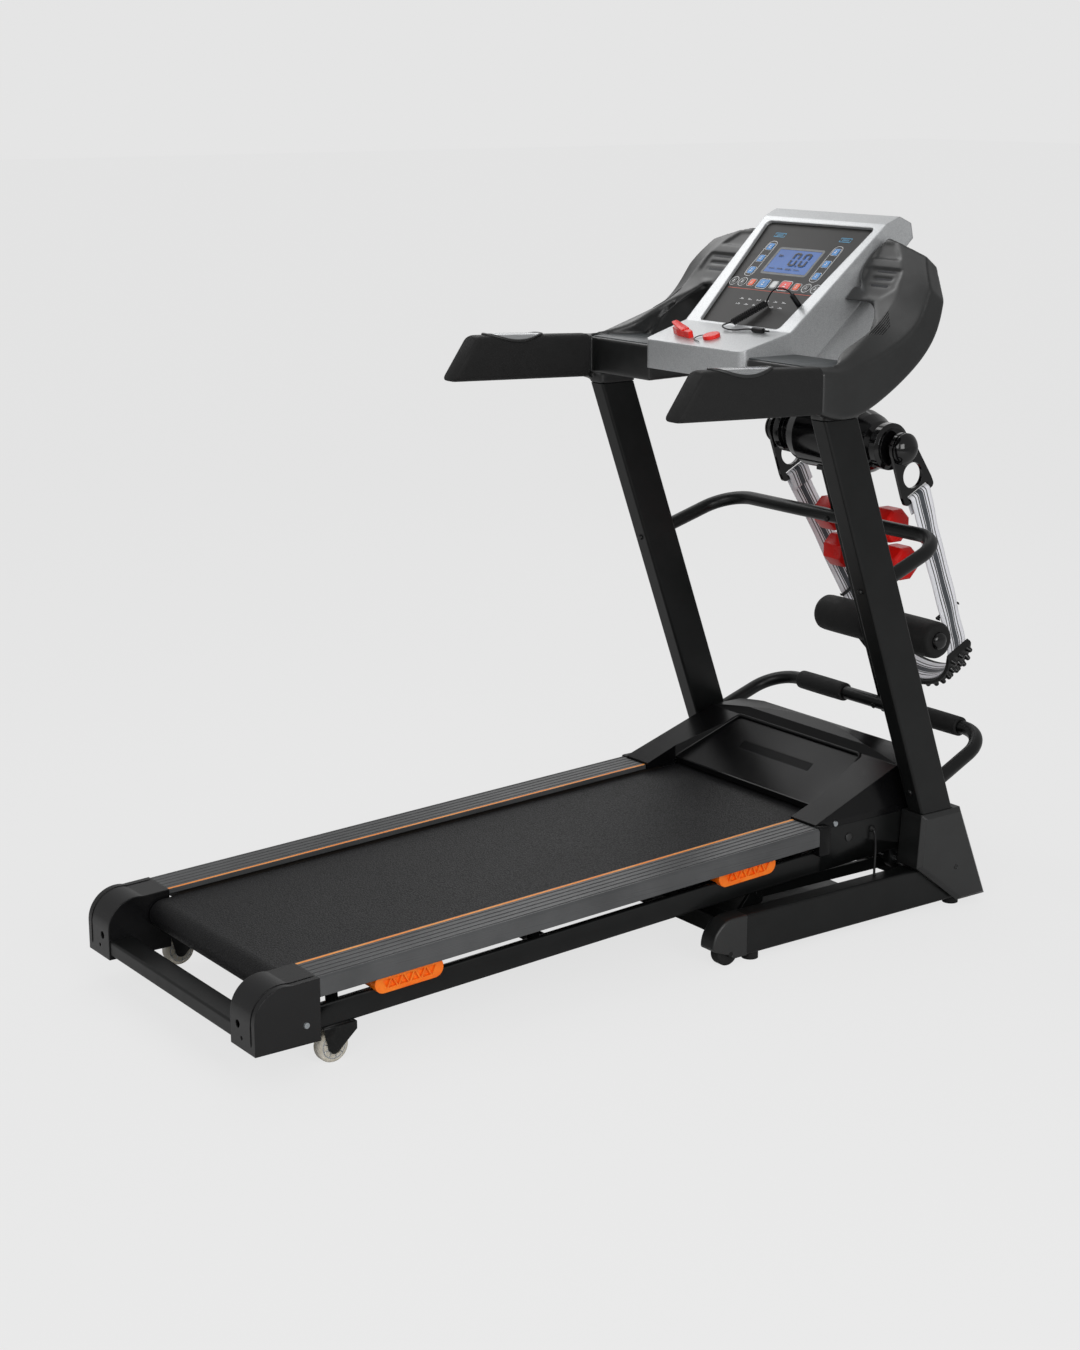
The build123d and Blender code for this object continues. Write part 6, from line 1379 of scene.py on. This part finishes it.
def on_grip(side, x, run, out):
    """A point on a grip's skin: x, the run over the top from its middle line and the rise off the foam."""
    part = (x - GRIP_HIGH[0].x) / (GRIP_HIGH[1].x - GRIP_HIGH[0].x)
    top = GRIP_HIGH[0].lerp(GRIP_HIGH[1], part).y
    flat = GRIP_T / 2 - GRIP_CORNER
    turn = min(max(abs(run) - flat, 0.0) / GRIP_CORNER, pi / 2)
    drop = max(abs(run) - flat - GRIP_CORNER * pi / 2, 0.0)
    y = min(abs(run), flat) + (GRIP_CORNER + out) * sin(turn)
    z = top - GRIP_CORNER + (GRIP_CORNER + out) * cos(turn) - drop
    return at(x, side * GRIP_Y + (y if run > 0 else -y), z)


def pulse_half(part):
    """Half width of a pulse plate over the grip, from its rear tip to its front tip."""
    return PULSE_HALF[0] + (PULSE_HALF[1] - PULSE_HALF[0]) * sin(pi * part) ** 0.7


plate_shape = bmesh.new()
rim_shape = bmesh.new()
shares = [2 * cell / PULSE_CELLS - 1 for cell in range(PULSE_CELLS + 1)]
for side in SIDES:
    rings = []
    edges = {edge: [] for edge in SIDES}
    for step in range(PULSE_STEPS + 1):
        part = step / PULSE_STEPS
        x = PULSE_X[0] + (PULSE_X[1] - PULSE_X[0]) * part
        half = pulse_half(part)
        crowned = [(share, PULSE_OUT + PULSE_CROWN * (1 - share * share)) for share in shares]
        over = [on_grip(side, x, half * share, out) for share, out in crowned]
        under = [on_grip(side, x, half * share, PULSE_SUNK) for share in reversed(shares)]
        rings.append(over + under)
        for edge in edges:
            edges[edge].append(on_grip(side, x, edge * half, RIM_OUT))
    join_rings(plate_shape, rings)
    bead(rim_shape, edges[1] + edges[-1][::-1] + edges[1][:2], RIM_R)
finish_piece("pulse_skins", plate_shape, brushed_steel, "base", crease=50.0, node="pulse_plates")
finish_piece("pulse_rims", rim_shape, grained_abs, "base", crease=60.0)

# Hubs of the deck's wheels: bearing, spokes and rim on both faces
BEARING_PROFILE = ((9.5, 9.6), (10.4, 11.2), (11.6, 11.6), (12.6, 11.2), (12.8, 9.6))
RIM_PROFILE = ((20.2, 9.6), (20.4, 11.1), (21.4, 11.5), (22.6, 11.1), (22.8, 9.6))
SPOKES = 9
SPOKE_OUT = 0.0107
SPOKE_REACH = 0.0163
for name, side in (("right", -1), ("left", 1)):
    body = "rear_wheel_" + name
    hub = at(163.6, side * 281, 30)
    rings_shape = bmesh.new()
    spots = []
    for face in SIDES:
        out = ACROSS * face
        turned(rings_shape, BEARING_PROFILE, hub, out, steps=40)
        turned(rings_shape, RIM_PROFILE, hub, out, steps=48)
        for spoke in range(SPOKES):
            radial = tilted(2 * pi * spoke / SPOKES)[0]
            spots.append((hub + out * SPOKE_OUT + radial * SPOKE_REACH, radial))
    spoke_shape = bmesh.new()
    join_rings(spoke_shape, levelled(drawn, round_box(2.6, 1.6, 0.6, 3), (-4.2, 4.2)))
    repeated("wheel_spokes_" + name, spoke_shape, spots, zinc_plate, body)
    finish_piece("wheel_rims_" + name, rings_shape, brushed_steel, body, crease=50.0)


# Room round the object: pale floor, pale backdrop and soft boxes

BACKDROP = linear("#e5e5e5")
FLOOR_GLOW = 0.86
FLOOR_HALF = 40


def seen_directly(tree):
    """1 for rays from the camera or through glass, 0 for rays that carry light or a reflection."""
    path = add_node(tree, "LightPath", {})
    rays = {0: path.outputs["Is Camera Ray"], 1: path.outputs["Is Transmission Ray"]}
    return add_node(tree, "Math", rays, operation="MAXIMUM").outputs["Value"]


floor_mesh = bpy.data.meshes.new("floor")
floor_corners = [(a * FLOOR_HALF, b * FLOOR_HALF, 0) for a, b in ((-1, -1), (1, -1), (1, 1), (-1, 1))]
floor_mesh.from_pydata(floor_corners, [], [(0, 1, 2, 3)])
put("floor", floor_mesh)
floor_paper = bpy.data.materials.new("backdrop_paper")
floor_paper.use_nodes = True
tree = floor_paper.node_tree
tree.nodes.remove(tree.nodes["Principled BSDF"])
matt = add_node(tree, "BsdfDiffuse", {"Color": BACKDROP}).outputs["BSDF"]
shine = add_node(tree, "Emission", {"Color": BACKDROP, "Strength": 1.08}).outputs["Emission"]
share = add_node(tree, "Math", {0: seen_directly(tree), 1: FLOOR_GLOW}, operation="MULTIPLY").outputs["Value"]
paper = add_node(tree, "MixShader", {0: share, 1: matt, 2: shine}).outputs["Shader"]
fill(tree, tree.nodes["Material Output"], {"Surface": paper})
floor_mesh.materials.append(floor_paper)

world = bpy.data.worlds.new("studio")
bpy.context.scene.world = world
world.use_nodes = True
tree = world.node_tree
strength = add_node(tree, "MapRange", {"Value": seen_directly(tree), "To Min": 0.5, "To Max": 1.0})
fill(tree, tree.nodes["Background"], {"Color": BACKDROP, "Strength": strength.outputs["Result"]})

# Soft boxes: name, place, aim, size in metres and power in watts
SOFT_BOXES = (
    ("key_box", (-3.4, -3.0, 2.6), (0.2, 0, 0.6), 2.4, 50.0),
    ("side_box", (-0.6, -4.8, 2.2), (0.3, 0, 0.7), 2.2, 80.0),
    ("back_box", (2.6, 2.8, 2.6), (0.2, 0, 0.8), 2.0, 10.0),
    ("top_box", (-0.2, 0.2, 3.6), (0, 0, 0.2), 1.8, 10.0),
    ("bezel_box", (0.45, 1.25, 2.15), (0.45, 0, 1.25), 0.9, 6.0),
)
for name, place, aim, size, power in SOFT_BOXES:
    lamp = bpy.data.lights.new(name, "AREA")
    lamp.size = size
    lamp.energy = power
    box = put(name, lamp)
    box.location = place
    box.visible_camera = False
    box.rotation_euler = (Vector(aim) - Vector(place)).to_track_quat("-Z", "Y").to_euler()

bpy.context.scene.view_settings.view_transform = "Standard"
